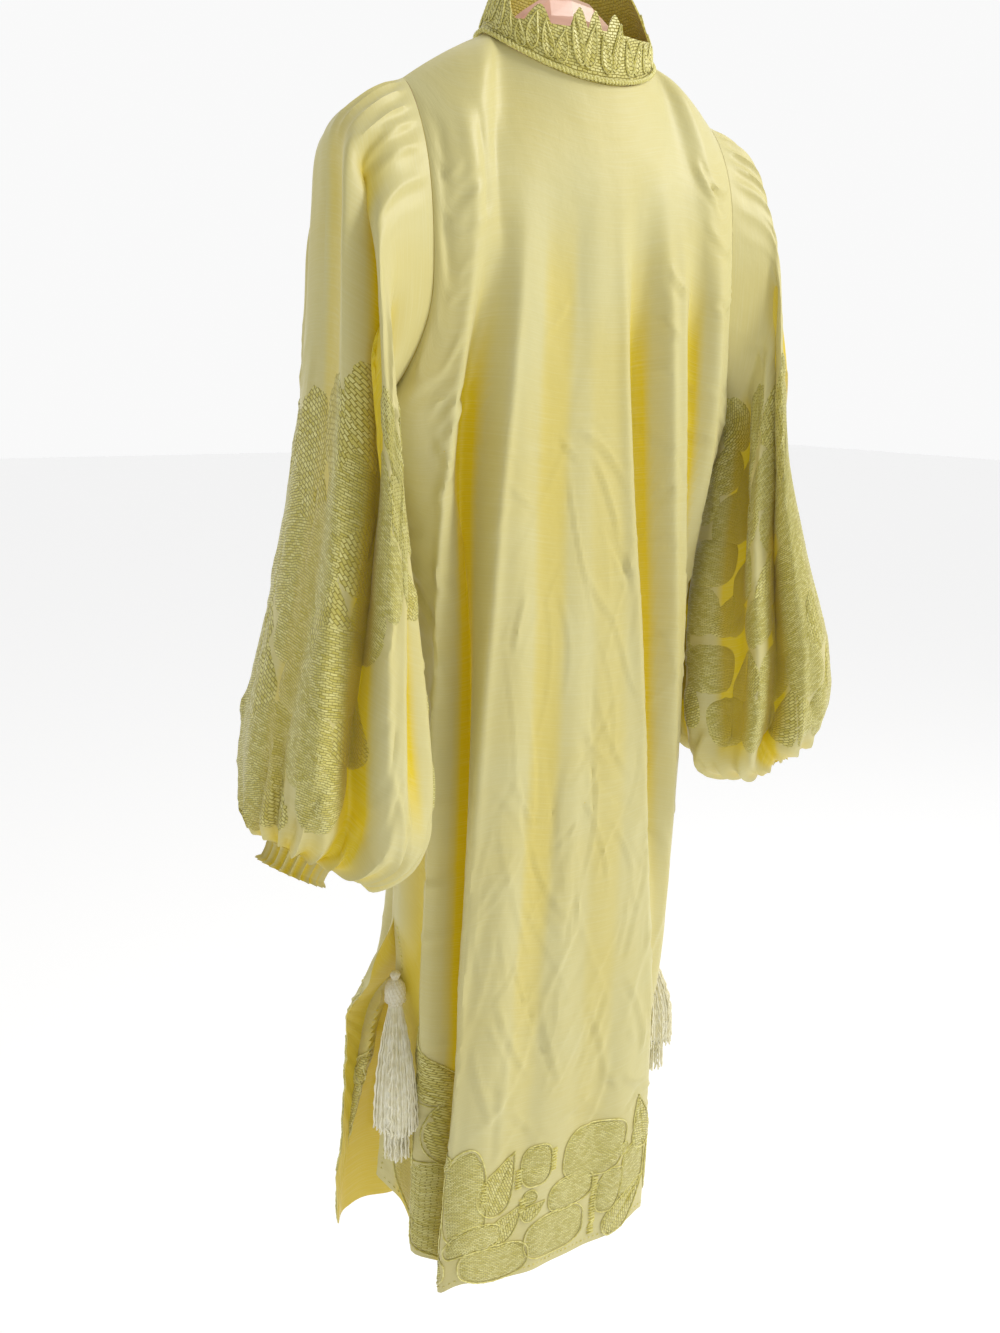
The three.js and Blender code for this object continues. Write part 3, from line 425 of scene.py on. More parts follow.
@functools.cache
def panel(face):
    """Front (-1) or back (+1) panel: the unfolded body, sunk along its level normal by the
    folds, and then moved along its true normal by flutes and creases."""
    folds = FRONT_FOLDS if face < 0 else BACK_FOLDS
    columns = FRONT_COLUMNS if face < 0 else BACK_COLUMNS
    fraction = np.linspace(0, 1, PANEL_ROWS)[:, None]
    u = np.linspace(-1, 1, 2 * ROW_SAMPLES + 1)[None]
    top = top_line(u, face)[2]
    z = top + (hem_line(u, face) - top) * fraction
    base = body_point(u, z, face)
    steps = np.linalg.norm(np.diff(base[..., :2], axis=1), axis=2)
    s = np.concatenate([np.zeros((PANEL_ROWS, 1)), np.cumsum(steps, axis=1)], axis=1)
    s -= s[:, ROW_SAMPLES : ROW_SAMPLES + 1]
    t = np.linspace(-1, 1, columns)[None]
    places = np.where(t < 0, -t * s[:, :1], t * s[:, -1:])

    def at(where):
        where = np.clip(where, s[:, :1], s[:, -1:])
        return np.stack([by_rows(where, s, base[..., k]) for k in range(3)], axis=-1)

    points = at(places)
    tangent = unit((at(places + 2) - at(places - 2))[..., :2])
    u_at = by_rows(places, s, np.broadcast_to(u, s.shape))
    z = points[..., 2]
    held = 1 - smooth(0.93, 1, np.abs(u_at)) * smooth(-SLIT_TOP, -SLIT_TOP + 60, z)
    moved, painted_shade = np.zeros_like(z), np.zeros_like(z)
    for k in range(len(folds["depth"])):
        strength, off = panel_fold(folds, k, places, z)
        depth = folds["depth"][k]
        moved += strength * (ridge_lips(depth, off) - depth * fold_shape(off)) * held
        # Painted shade share: more where the fold is strong and deep and a point lies near its middle.
        painted_shade += strength**3 * smooth(0.5, 0.97, fold_shape(off)) * min(max(depth / 24, 0), 1) * held
    points[..., 0] -= face * tangent[..., 1] * moved
    points[..., 1] += face * tangent[..., 0] * moved
    up = z - by_rows(places, s, np.broadcast_to(hem_line(u, face), s.shape))
    down = by_rows(places, s, np.broadcast_to(top, s.shape)) - z
    inside = np.minimum(places - s[:, :1], s[:, -1:] - places)
    calm = smooth(0, 16, down) * (1 - (1 - smooth(0, 14, inside)) * smooth(-SLIT_TOP, -SLIT_TOP + 60, z))
    relief = soft_flutes(places, up, 5 + face, FLUTES[face]) * smooth(40, 260, down)
    relief += crease_relief(places, up, panel_creases(face))
    relief += edge_puckers(inside, up, z)
    points = points + grid_normals(points, False, face) * (relief * calm)[..., None]
    normals = grid_normals(points, False, face)
    closed_rows = points[:, 0, 2] > -SLIT_TOP
    normals[closed_rows, 0] = (-1, 0, 0)
    normals[closed_rows, -1] = (1, 0, 0)
    over = smooth(0.8, 1, np.abs(points[0, :, 0]) / NECK_HALF_WIDTH)[:, None]
    level = unit(normals[0] * (1, 1, 0))
    normals[0] = unit(level * (1 - over) + np.array([0, 0, 1]) * over)
    # The back gets a smaller share of painted fold shade.
    painted_shade = np.clip(painted_shade, 0, 1) * (1 if face < 0 else BACK_PAINTED_SHADE)
    return Surface(points, normals, places, up, painted_shade, False, face)


def edge_puckers(inside, up, z):
    """Short slanting puckers where a narrow hem is stitched back beside the slits: a peaked
    wave along the edge, strongest a little inside it."""
    wave = 1 - 2 * np.abs(np.sin((up + 0.9 * inside) / 7.5 + 0.8 * np.sin(up / 41)))
    open_edge = 1 - smooth(-SLIT_TOP - 20, -SLIT_TOP + 15, z)
    return 0.9 * wave * open_edge * np.exp(-(((inside - 7) / 7) ** 2))


def crisp_wave(turns):
    """Wave from 1 to -1 with peaked crests and round bottoms."""
    return 1 - 2 * np.abs(np.sin(turns / 2)) ** 0.9


def sleeve_form(rings, angles, side):
    """Sleeve without folds: a smooth curve through the armhole and the rings at each angle."""
    knots = [armhole_points(angles, side)] + [ring_points(k, angles, side) for k in range(LAST_RING)]
    return curve([0, *SLEEVE["ring"]], np.stack(knots), rings)


def even_rings(side, count):
    """Ring numbers at even steps of the sleeve's mean length, and that length at each."""
    rings = np.linspace(0, LAST_RING, 121)
    form = sleeve_form(rings, np.arange(24) * math.pi / 12, side)
    length = np.linalg.norm(np.diff(form, axis=0), axis=2).mean(axis=1)
    total = np.concatenate([[0], np.cumsum(length)])
    along = np.linspace(0, total[-1], count)
    return np.interp(along, total, rings), along


@functools.cache
def sleeve(side):
    """Sleeve (-1 or +1): rings joined by a smooth curve, sunk along the normal by the folds,
    gathered at head and wrist, with flutes and creases."""
    rings, along = even_rings(side, SLEEVE_ROWS)
    angles = np.arange(SLEEVE_COLUMNS) * 2 * math.pi / SLEEVE_COLUMNS
    base = sleeve_form(rings, angles, side)
    at_wrist = smooth(10.5, LAST_RING, rings)[:, None, None]
    normals = unit(grid_normals(base, True, side) * (1 - at_wrist) + wrist_radial(base, side) * at_wrist)
    folds = SLEEVE_FOLDS[side]
    row = rings[:, None]
    moved, painted_shade = np.zeros(base.shape[:2]), np.zeros(base.shape[:2])
    for k in range(len(folds["depth"])):
        middle = curve([2, 6, 10], [folds["a2"][k], folds["a6"][k], folds["a10"][k]], rings)[:, None]
        off = angle_off(angles[None], middle) / folds["width"][k]
        strength = smooth(folds["start"][k], folds["full"][k], row)
        strength = strength * (1 - smooth(folds["fade"][k], folds["end"][k], row))
        moved += strength * (ridge_lips(folds["depth"][k], off) - folds["depth"][k] * fold_shape(off))
        # Painted shade share deep in each fold of the sleeve.
        painted_shade += strength * smooth(0.3, 0.85, fold_shape(off)) * min(folds["depth"][k] / 20, 1)
    uneven = 0.5 * np.sin(5 * angles + 1) + 0.4 * np.sin(11 * angles + 2 + side)
    gathered = smooth(8.3 + uneven[None], 11.6, row) * (1 - 0.35 * smooth(11.6, LAST_RING, row))
    wave = crisp_wave(GATHERS * angles)[None]
    moved += GATHER_DEPTH * gathered * wave
    # Painted shade in the valleys of the wrist's gathers.
    painted_shade += 0.55 * smooth(9.5, 11.5, row) * (0.5 - 0.5 * wave)
    near_top = smooth(0.1, 0.8, np.cos(angles))[None]
    head = smooth(0.05, 0.5, row) * (1 - smooth(0.9, 2.4, row)) * near_top
    moved += 1.7 * head * crisp_wave(34 * angles + 0.6 * np.sin(9 * angles))[None]
    x, y = np.broadcast_arrays(angles[None] / DEGREE * MM_A_DEGREE, -along[:, None])
    calm = smooth(0, 16, along)[:, None] * (1 - smooth(11.3, 11.95, row))
    relief = crease_relief(x, y, sleeve_creases(side)) + sleeve_flutes(angles[None], y, side)
    points = base + normals * (moved + relief * calm)[..., None]
    normals = grid_normals(points, True, side)
    normals[0] = unit(normals[0] * (0, 1, 1))
    normals[-1] = wrist_radial(points[-1], side)
    return Surface(points, normals, x, y, np.clip(painted_shade, 0, 1), True, side)


def sleeve_flutes(angles, y, side):
    """Sines around the sleeve that drift with its length."""
    return (
        1.3 * np.sin(7 * angles + y / 160 + side)
        + 0.9 * np.sin(11 * angles - y / 120 + 2)
        + 0.6 * np.sin(17 * angles + y / 90 + 1)
    ) * smooth(20, 160, -y)


@functools.cache
def cuff(side):
    """Elastic casing: the wrist's ring carried along the wrist, narrowed, pleated and flared."""
    rows = 18
    place = np.linspace(0, 1, rows)[:, None]
    size = curve([0, 0.4, 0.8, 1], [1, 0.93, 0.95, 1.04], place)
    angles = np.arange(SLEEVE_COLUMNS) * 2 * math.pi / SLEEVE_COLUMNS
    middle, axis = wrist(side)
    rim = ring_points(LAST_RING - 1, angles, side)
    radial = wrist_radial(rim, side)[None]
    wave = crisp_wave(GATHERS * angles)[None]
    ruffle = smooth(0.75, 1, place) * 0.8 * np.sin(2 * GATHERS * angles + 1)[None]
    stitched = -0.7 * np.exp(-(((place - 0.12) / 0.05) ** 2)) - 0.7 * np.exp(-(((place - 0.8) / 0.05) ** 2))
    out = CUFF_PLEAT_DEPTH * wave + ruffle + stitched
    points = middle + (rim - middle)[None] * size[..., None] + radial * out[..., None]
    points = points + axis * (SLEEVE_SEAM_GAP + place * CUFF_LENGTH)[..., None]
    x, y = np.broadcast_arrays(angles[None] / DEGREE * 0.5, -place * CUFF_LENGTH)
    normals = np.stack([wrist_radial(row, side) for row in points])
    # Painted shade share: a little everywhere and more in the pleats' valleys.
    return Surface(points, normals, x, y, np.clip(0.15 - 0.4 * wave + 0 * place, 0, 1), True, side)


COLLAR_SIZE = table(
    ["z", "halfWidth", "halfDepth"],
    [[-36, 80, 52], [0, 80, 50.5], [25, 72, 48], [52, 59, 45]],
)
COLLAR_LOW = 4
COLLAR_HIGH = 52
COLLAR_LEAVES = table(
    ["angle", "halfAngle", "height"],
    [[-44, 9, 13], [-17, 5.5, 15], [-6, 4.5, 14], [9, 6.5, 14]],
)
COLLAR_OPEN_ANGLE = 0.35
COLLAR_SEAM_GAP = 0.5
MM_A_COLLAR_DEGREE = 1.15


def neck_seam_z(angles):
    c = np.cos(angles * DEGREE)
    return -np.where(c > 0, NECK_DIP_FRONT, NECK_DIP_BACK) * np.abs(c) ** 1.3


def collar_top_z(angles):
    """Low in front, high at sides and back, with rounded leaf tips on the low part."""
    rise = smooth(58, 88, np.abs(angles))
    z = COLLAR_LOW + (COLLAR_HIGH - COLLAR_LOW) * rise
    z = z + COLLAR_LOW * smooth(25, 60, np.abs(angles)) * (1 - rise)
    for middle, half, height in zip(*COLLAR_LEAVES.values()):
        z = z + height * (1 - np.minimum(np.abs(angles - middle) / half, 1) ** 1.7)
    return z


def collar_point(angles, z):
    """Ellipse at height z, whose half sizes shrink upwards."""
    wide = curve(COLLAR_SIZE["z"], COLLAR_SIZE["halfWidth"], z)
    deep = curve(COLLAR_SIZE["z"], COLLAR_SIZE["halfDepth"], z)
    return np.stack([wide * np.sin(angles * DEGREE), -deep * np.cos(angles * DEGREE), z], axis=-1)


@functools.cache
def collar():
    """Stand collar: rows from its leaf-edged top down to the neck seam, open at the back."""
    end = 180 - COLLAR_OPEN_ANGLE
    angles = np.linspace(-end, end, 620)[None]
    height = np.linspace(1, 0, 26)[:, None]
    low = neck_seam_z(angles) + COLLAR_SEAM_GAP
    z = low + (collar_top_z(angles) - low) * height
    angles = np.broadcast_to(angles, z.shape)
    lean = np.where(height > 0, 0.25, 0) + 0 * z
    normals = unit(np.stack([0.8 * np.sin(angles * DEGREE), -np.cos(angles * DEGREE), lean], axis=-1))
    wave = 0.25 * np.sin(angles / 4.1) * np.sin(math.pi * height)
    points = collar_point(angles, z) + normals * wave[..., None]
    return Surface(points, normals, angles * MM_A_COLLAR_DEGREE, z - low, 0 * z, False, -1)


def grid_place(surface, x, y):
    """Row and column, as fractions, where cloth place (x, y) lies: the column from the row's two
    ends, then the row from the column's heights, five times over."""
    rows, columns = surface.x.shape
    each = np.arange(x.size)
    r = np.full(x.shape, rows / 2)
    for _ in range(5):
        k = np.clip(np.floor(r).astype(int), 0, rows - 2)
        f = r - k
        first = surface.x[k, 0] * (1 - f) + surface.x[k + 1, 0] * f
        last = surface.x[k, -1] * (1 - f) + surface.x[k + 1, -1] * f
        c = (x - first) / (last - first) * (columns - 1)
        c = c % columns if surface.closed else np.clip(c, 0, columns - 1.001)
        j = np.floor(c).astype(int)
        g = c - j
        heights = surface.y[:, j] * (1 - g) + surface.y[:, (j + 1) % columns] * g
        k = np.clip((heights > y).sum(axis=0) - 1, 0, rows - 2)
        high, low = heights[k, each], heights[k + 1, each]
        r = k + np.clip((high - y) / np.maximum(high - low, 1e-6), 0, 1)
    return r, c


def place_on(surface, x, y):
    """Points, normals and painted shade share of the cloth at places (x, y), each a weighted mean of
    the four grid points around."""
    shape = x.shape
    r, c = grid_place(surface, x.ravel(), y.ravel())
    columns = surface.x.shape[1]
    k, j = np.floor(r).astype(int), np.floor(c).astype(int)
    k2, j2 = np.minimum(k + 1, surface.x.shape[0] - 1), (j + 1) % columns
    f, g = (r - k)[:, None], (c - j)[:, None]

    def blend(grid):
        high = grid[k, j] * (1 - g) + grid[k, j2] * g
        low = grid[k2, j] * (1 - g) + grid[k2, j2] * g
        return high * (1 - f) + low * f

    painted_shade = blend(surface.painted_shade[..., None]).reshape(shape)
    return blend(surface.points).reshape(*shape, 3), unit(blend(surface.normals)).reshape(*shape, 3), painted_shade


# Creases of the front that show, listed one by one: from (x0, y0) to (x1, y1) on the cloth
FRONT_CREASES = table(CREASE_COLUMNS, [
    [-93, 751, -60, 733, 1.6, 2.0, 0.03], [-34, 809, 34, 748, 2.0, 2.4, -0.12],
    [-40, 800, -14, 777, 1.5, 2.0, 0.06], [-12, 792, 26, 702, 1.9, 2.4, -0.06],
    [-14, 690, 18, 640, 1.7, 2.2, 0.03], [-70, 668, -84, 606, 1.9, 2.3, 0.05],
    [8, 660, 34, 590, 1.2, 2.2, -0.04], [34, 700, 42, 672, 2.4, 2.6, 0.1],
    [-60, 870, -30, 910, 1.0, 2.2, 0.05], [-146, 1030, -142, 900, -4.0, 7.0, 0.04],
    [-120, 1058, -112, 940, -4.2, 7.0, -0.04], [-96, 1050, -92, 920, -3.2, 7.5, 0.03],
    [-152, 800, -134, 772, 2.4, 3.2, 0.1], [-150, 742, -132, 770, 2.4, 3.2, -0.1],
    [-150, 850, -136, 880, 1.8, 3.0, 0.1], [-148, 900, -130, 915, 1.6, 2.6, 0.0],
    [-150, 700, -138, 660, 1.8, 3.2, 0.1], [-152, 640, -150, 560, 2.0, 3.2, 0.0],
    [70, 930, 96, 905, 2.2, 3.4, 0.1], [66, 890, 92, 868, 2.0, 3.2, 0.1],
    [64, 850, 84, 836, 1.8, 3.0, 0.0], [-60, 440, -10, 360, 1.4, 2.6, 0.06],
    [-84, 420, -50, 330, 1.2, 2.6, 0.05], [20, 460, 60, 380, 1.4, 2.6, -0.06],
    [-90, 300, -40, 210, 1.8, 3.4, 0.08], [-40, 300, -8, 190, 1.6, 3.2, 0.05],
    [10, 280, 44, 170, 1.6, 3.2, -0.06], [50, 300, 92, 180, 1.7, 3.2, -0.06],
    [-110, 260, -82, 160, 1.6, 3.0, 0.05], [-70, 190, -10, 150, 1.5, 3.0, 0.12],
    [0, 170, 60, 150, 1.7, 3.0, 0.1], [60, 190, 110, 150, 2.0, 3.2, 0.1],
    [-20, 560, 30, 500, 1.3, 2.4, 0.05],
])


def panel_creases(face):
    """Fine creases of a panel: diagonal ones that spread over its middle, puckers beside the
    armholes, crumples above the hem, and, on the front, those listed one by one."""
    side = 1 if face < 0 else 3
    families = [
        scattered_creases(10 * side, 64, (-120, 120), (240, 800), -56, 24, (50, 200), (0.4, 1.5), (1.4, 2.5)),
        scattered_creases(11 * side, 50, (-125, 125), (220, 800), 68, 24, (40, 150), (0.4, 1.3), (1.4, 2.5)),
        scattered_creases(12 * side, 18, (-170, -120), (780, 1010), 30, 22, (24, 60), (1.0, 2.4), (2.4, 4.5)),
        scattered_creases(13 * side, 18, (120, 170), (780, 1010), -30, 22, (24, 60), (1.0, 2.4), (2.4, 4.5)),
        scattered_creases(14 * side, 22, (-215, -150), (330, 760), 20, 30, (30, 80), (1.0, 2.4), (2.6, 5)),
        scattered_creases(15 * side, 22, (150, 210), (330, 760), -20, 30, (30, 80), (1.0, 2.4), (2.6, 5)),
        scattered_creases(16 * side, 60, (-220, 220), (10, 240), 35, 45, (22, 80), (0.8, 1.9), (2.2, 4.2)),
        scattered_creases(17 * side, 26, (-130, 130), (120, 460), 78, 12, (70, 200), (0.6, 1.5), (2.4, 5)),
    ]
    return joined(*families, FRONT_CREASES) if face < 0 else joined(*families)


def sleeve_creases(side):
    """Fine creases of a sleeve: slanting ones along it, and crumples that grow towards the wrist."""
    seed = 40 + side
    across = (0, 360 * MM_A_DEGREE)
    return joined(
        scattered_creases(seed, 46, across, (-420, -20), 72, 14, (50, 160), (0.7, 1.8), (2.2, 4)),
        scattered_creases(seed + 5, 44, across, (-560, -200), -50, 30, (26, 80), (0.7, 1.8), (2.4, 4.6)),
        scattered_creases(seed + 10, 60, across, (-600, -430), 88, 12, (60, 150), (1.5, 3.8), (3.0, 6)),
    )


# Meshes


def grid_cells(rows, columns):
    """Row and column number of each cell, row by row."""
    return (a.ravel() for a in np.meshgrid(np.arange(rows), np.arange(columns), indexing="ij"))


def cell_corners(rows, columns, closed, flip):
    """Row and column numbers of the corners of each cell of a grid."""
    i, j = grid_cells(rows - 1, columns if closed else columns - 1)
    r = np.stack([i, i, i + 1, i + 1], axis=1)
    c = np.stack([j, j + 1, j + 1, j], axis=1)
    return (r[:, ::-1], c[:, ::-1]) if flip else (r, c)


def make_mesh(name, points, faces, material, uv=None, attributes=None, smooth_angle=50):
    """A mesh object from points in garment millimetres. faces is one array or a list of arrays,
    and uv is one pair for each corner."""
    mesh = bpy.data.meshes.new(name)
    place = (points - (0, 0, HOOK_RISE)) * MM
    groups = faces if isinstance(faces, list) else [faces]
    faces = [face for group in groups for face in group.tolist()]
    mesh.from_pydata(place.tolist(), [], faces)
    if uv is not None:
        mesh.uv_layers.new(name="cloth").data.foreach_set("uv", uv.astype(np.float32).ravel())
    for label, values in (attributes or {}).items():
        layer = mesh.attributes.new(label, "FLOAT", "POINT")
        layer.data.foreach_set("value", values.astype(np.float32).ravel())
    mesh.polygons.foreach_set("use_smooth", np.ones(len(faces), bool))
    mesh.set_sharp_from_angle(angle=smooth_angle * DEGREE)
    mesh.materials.append(material)
    mesh.validate()
    piece = bpy.data.objects.new(name, mesh)
    bpy.context.scene.collection.objects.link(piece)
    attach(piece, "root")
    return piece


def rim_faces(faces, count):
    """Quads between outer and inner points along every side that only one cell has."""
    start, end = faces.ravel(), np.roll(faces, -1, axis=1).ravel()
    alone = ~np.isin(start * count + end, end * count + start)
    start, end = start[alone], end[alone]
    return np.stack([start, start + count, end + count, end], axis=1), alone


def wall_piece(name, surface, thickness, material, opening=0):
    """Closed wall: the surface's points, the same moved in along the normals by the thickness,
    and strips along every open edge. opening cuts the middle column down to that length."""
    rows, columns = surface.points.shape[:2]
    r, c = cell_corners(rows, columns, surface.closed, surface.side < 0)
    ids = r * columns + c % columns
    points = surface.points.reshape(-1, 3)
    normals, painted_shade = surface.normals.reshape(-1, 3), surface.painted_shade.ravel()
    if opening:
        middle = columns // 2
        cut = int((surface.points[0, middle, 2] - surface.points[:, middle, 2] < opening).sum())
        column = np.arange(cut) * columns + middle
        twin = (c >= middle).all(axis=1)[:, None] & (c == middle) & (r < cut)
        ids = np.where(twin, len(points) + r, ids)
        shift = np.array([BACK_OPENING_GAP / 2, 0, 0])
        twins = points[column] + shift
        points = points.copy()
        points[column] -= shift
        points = np.concatenate([points, twins])
        normals = np.concatenate([normals, normals[column]])
        painted_shade = np.concatenate([painted_shade, painted_shade[column]])
    count = len(points)
    rim, alone = rim_faces(ids, count)
    faces = np.concatenate([ids, ids[:, ::-1] + count, rim])
    spread = 360 * MM_A_DEGREE if surface.closed else 0
    uv = np.stack([surface.x[r, c % columns] + (c == columns) * spread, surface.y[r, c % columns]], axis=-1)
    rim_uv = np.repeat(uv.reshape(-1, 2)[alone][:, None], 4, axis=1)
    uv = np.concatenate([uv, uv[:, ::-1], rim_uv]) * MM
    both = np.concatenate([points, points - normals * thickness])
    # Painted shade: the inner face gets at least the inner share.
    shade = np.concatenate([painted_shade, np.maximum(painted_shade, INNER_SHADE)])
    return make_mesh(name, both, faces, material, uv, {"painted_shade": shade})


def disc_faces(rings, spokes):
    """Faces of a polar grid whose first point is its middle, facing up from it."""
    j = np.arange(spokes)
    middle = np.stack([0 * j, 1 + j, 1 + (j + 1) % spokes], axis=1)
    i, j = grid_cells(rings - 1, spokes)
    a, b = 1 + i * spokes + j, 1 + i * spokes + (j + 1) % spokes
    return middle, np.stack([a, a + spokes, b + spokes, b], axis=1)


def outline(kind, phi):
    """Half-unit outlines at turn phi from the top. leaf: pointed at the top, widest low.
    petal: a superellipse. scallop: a round of small lobes. lens: an ellipse. block: a
    superellipse near a rounded square."""
    s, c = np.sin(phi), np.cos(phi)
    if kind == "leaf":
        return 1.25 * s * np.abs(np.sin(phi / 2)) ** 1.3, c
    if kind == "scallop":
        lobes = 0.93 + 0.1 * np.abs(np.cos(5.5 * phi))
        return s * lobes, c * lobes
    power = {"petal": 0.72, "lens": 1, "block": 0.5}[kind]
    return np.sign(s) * np.abs(s) ** power, np.sign(c) * np.abs(c) ** power


def turned(x, y, turn):
    c, s = np.cos(turn * DEGREE), np.sin(turn * DEGREE)
    return x * c - y * s, x * s + y * c


PATCH_SINK = 0.5
VEIN_WIDTH = 1.4
LAYER_STEP = 0.22
LAYERS = 4


def appliques(name, surface, kind, items, material, height=1.0, rings=6, spokes=36, vein=0.0):
    """Raised patches on the cloth, one for each row (x, y, half width, half height, turn): the
    outline filled towards a point under its middle, domed, and sunk into the cloth at its rim."""
    items = np.array(items, float)
    share = np.concatenate([[0], np.repeat(np.linspace(1 / rings, 1, rings), spokes)])
    phi = np.concatenate([[0], np.tile(np.arange(spokes) * 2 * math.pi / spokes, rings)])
    ox, oy = outline(kind, phi)
    low = -0.25 if kind == "leaf" else 0
    ux, uy = share * ox, low + share * (oy - low)
    ax, ay = items[:, 2:3] * ux, items[:, 3:4] * uy
    tx, ty = turned(ax, ay, items[:, 4:5])
    points, normals, painted_shade = place_on(surface, items[:, 0:1] + tx, items[:, 1:2] + ty)
    layer = LAYER_STEP * (np.arange(len(items)) % LAYERS)[:, None]
    sunk = (height + PATCH_SINK + layer) * smooth(0.84, 1, share)
    lift = height + layer - sunk - vein * np.exp(-((ax / VEIN_WIDTH) ** 2))
    points = points + normals * lift[..., None]
    count = share.size
    faces = []
    for part in disc_faces(rings, spokes):
        faces.append((part[None] + (np.arange(len(items)) * count)[:, None, None]).reshape(-1, part.shape[1]))
    spot = np.stack([(ax + items[:, 0:1]) * MM, (ay + items[:, 1:2]) * MM], axis=-1).reshape(-1, 2)
    corners = np.concatenate([part.ravel() for part in faces])
    # Each patch takes the cloth's painted shade share where it lies.
    shade = {"painted_shade": painted_shade.ravel()}
    return make_mesh(name, points.reshape(-1, 3), faces, material, spot[corners], shade)


def tube_faces(count, sides, closed, first):
    """Quads along a tube of count rings, then its two end caps where it is open."""
    i, j = grid_cells(count if closed else count - 1, sides)
    k, n = (i + 1) % count, (j + 1) % sides
    quads = np.stack([i * sides + j, k * sides + j, k * sides + n, i * sides + n], axis=1) + first
    if closed:
        return [quads]
    ring = np.arange(sides)[None] + first
    return [quads, ring, ring[:, ::-1] + (count - 1) * sides]


def tubes(name, paths, radii, ups, sides, closed, material):
    """Round tubes along paths: each ring lies in the plane of the up direction and the
    direction square to it and to the path."""
    ahead = np.roll(paths, -1, axis=1) - np.roll(paths, 1, axis=1) if closed else np.gradient(paths, axis=1)
    along = unit(ahead)
    across = unit(np.cross(ups, along))
    up = np.cross(along, across)
    turn = np.arange(sides) * 2 * math.pi / sides
    ring = up[:, :, None] * np.cos(turn)[:, None] + across[:, :, None] * np.sin(turn)[:, None]
    points = paths[:, :, None] + ring * np.broadcast_to(radii, paths.shape[:2])[:, :, None, None]
    n, count = paths.shape[:2]
    faces = [part for k in range(n) for part in tube_faces(count, sides, closed, k * count * sides)]
    return make_mesh(name, points.reshape(-1, 3), faces, material, smooth_angle=80)


def rope_outlines(name, surface, kind, items, material, radius=0.75, samples=76):
    """Corded edge of each patch: a beaded tube round its outline, just above the cloth."""
    items = np.array(items, float)
    ox, oy = outline(kind, np.arange(samples) * 2 * math.pi / samples)
    tx, ty = turned(items[:, 2:3] * ox, items[:, 3:4] * oy, items[:, 4:5])
    points, normals, _ = place_on(surface, items[:, 0:1] + tx, items[:, 1:2] + ty)
    beads = 1 + 0.25 * (-1.0) ** np.arange(samples)
    return tubes(name, points + normals * 0.8, radius * beads[None], normals, 4, True, material)


# Materials


def map_value(tree, value, low, high, to_low, to_high):
    """Socket that goes from to_low to to_high as value goes from low to high."""
    scaled = tree.nodes.new("ShaderNodeMapRange")
    for key, number in (("From Min", low), ("From Max", high), ("To Min", to_low), ("To Max", to_high)):
        scaled.inputs[key].default_value = number
    tree.links.new(value, scaled.inputs["Value"])
    return scaled.outputs[0]


class Finish:
    """A new material with one principled shader. The settings are the shader's constants, with
    _ for a space in a socket's name, and each method adds a node and gives its socket."""

    def __init__(self, name, **settings):
        self.material = bpy.data.materials.new(name)
        self.material.use_nodes = True
        self.tree = self.material.node_tree
        self.tree.nodes.clear()
        output = self.add("OutputMaterial")
        self.shader = self.add("BsdfPrincipled", **settings)
        self.tree.links.new(self.shader.outputs[0], output.inputs[0])

    def add(self, kind, vector=None, **inputs):
        made = self.tree.nodes.new("ShaderNode" + kind)
        for key, value in inputs.items():
            made.inputs[key.replace("_", " ")].default_value = value
        if vector is not None:
            self.tree.links.new(vector, made.inputs["Vector"])
        return made

    def feed(self, key, socket):
        self.tree.links.new(socket, self.shader.inputs[key])

    def uv(self):
        made = self.add("UVMap")
        made.uv_map = "cloth"
        return made.outputs[0]

    def painted_shade(self, full, most):
        """Share of painted shade, mostly deep in the folds, which reaches most where the mesh's shade
        attribute is full.
        """
        made = self.add("Attribute")
        made.attribute_name = "painted_shade"
        return map_value(self.tree, made.outputs["Fac"], 0, full, 0, most)

    def place(self):
        return self.add("TexCoord").outputs["Object"]

    def mapped(self, vector, **inputs):
        return self.add("Mapping", vector, **inputs).outputs[0]

    def noise(self, vector, **inputs):
        return self.add("TexNoise", vector, **inputs).outputs["Fac"]

    def ranged(self, *values):
        return map_value(self.tree, *values)

    def mix(self, factor, low, high):
        """Colour between low and high, each a colour or a socket, by the factor's socket."""
        mix = self.add("Mix")
        mix.data_type = "RGBA"
        self.tree.links.new(factor, mix.inputs["Factor"])
        for key, value in ((6, low), (7, high)):
            if isinstance(value, bpy.types.NodeSocket):
                self.tree.links.new(value, mix.inputs[key])
            else:
                mix.inputs[key].default_value = (*value, 1)
        return mix.outputs[2]

    def bumps(self, *layers, inverted=None):
        """Bumps one over the other from the deepest, each (height, strength, distance)."""
        under = None
        for height, strength, distance in layers:
            bump = self.add("Bump", Strength=strength, Distance=distance)
            bump.invert = height is inverted
            self.tree.links.new(height, bump.inputs["Height"])
            if under is not None:
                self.tree.links.new(under, bump.inputs["Normal"])
            under = bump.outputs[0]
        self.feed("Normal", under)


# Painted light: the colour of a weak glow deep in the folds, for light that passes between layers of cloth.
FOLD_GLOW = (0.09, 0.074, 0.0)
SLUB_COLOUR = (0.74, 0.72, 0.47)


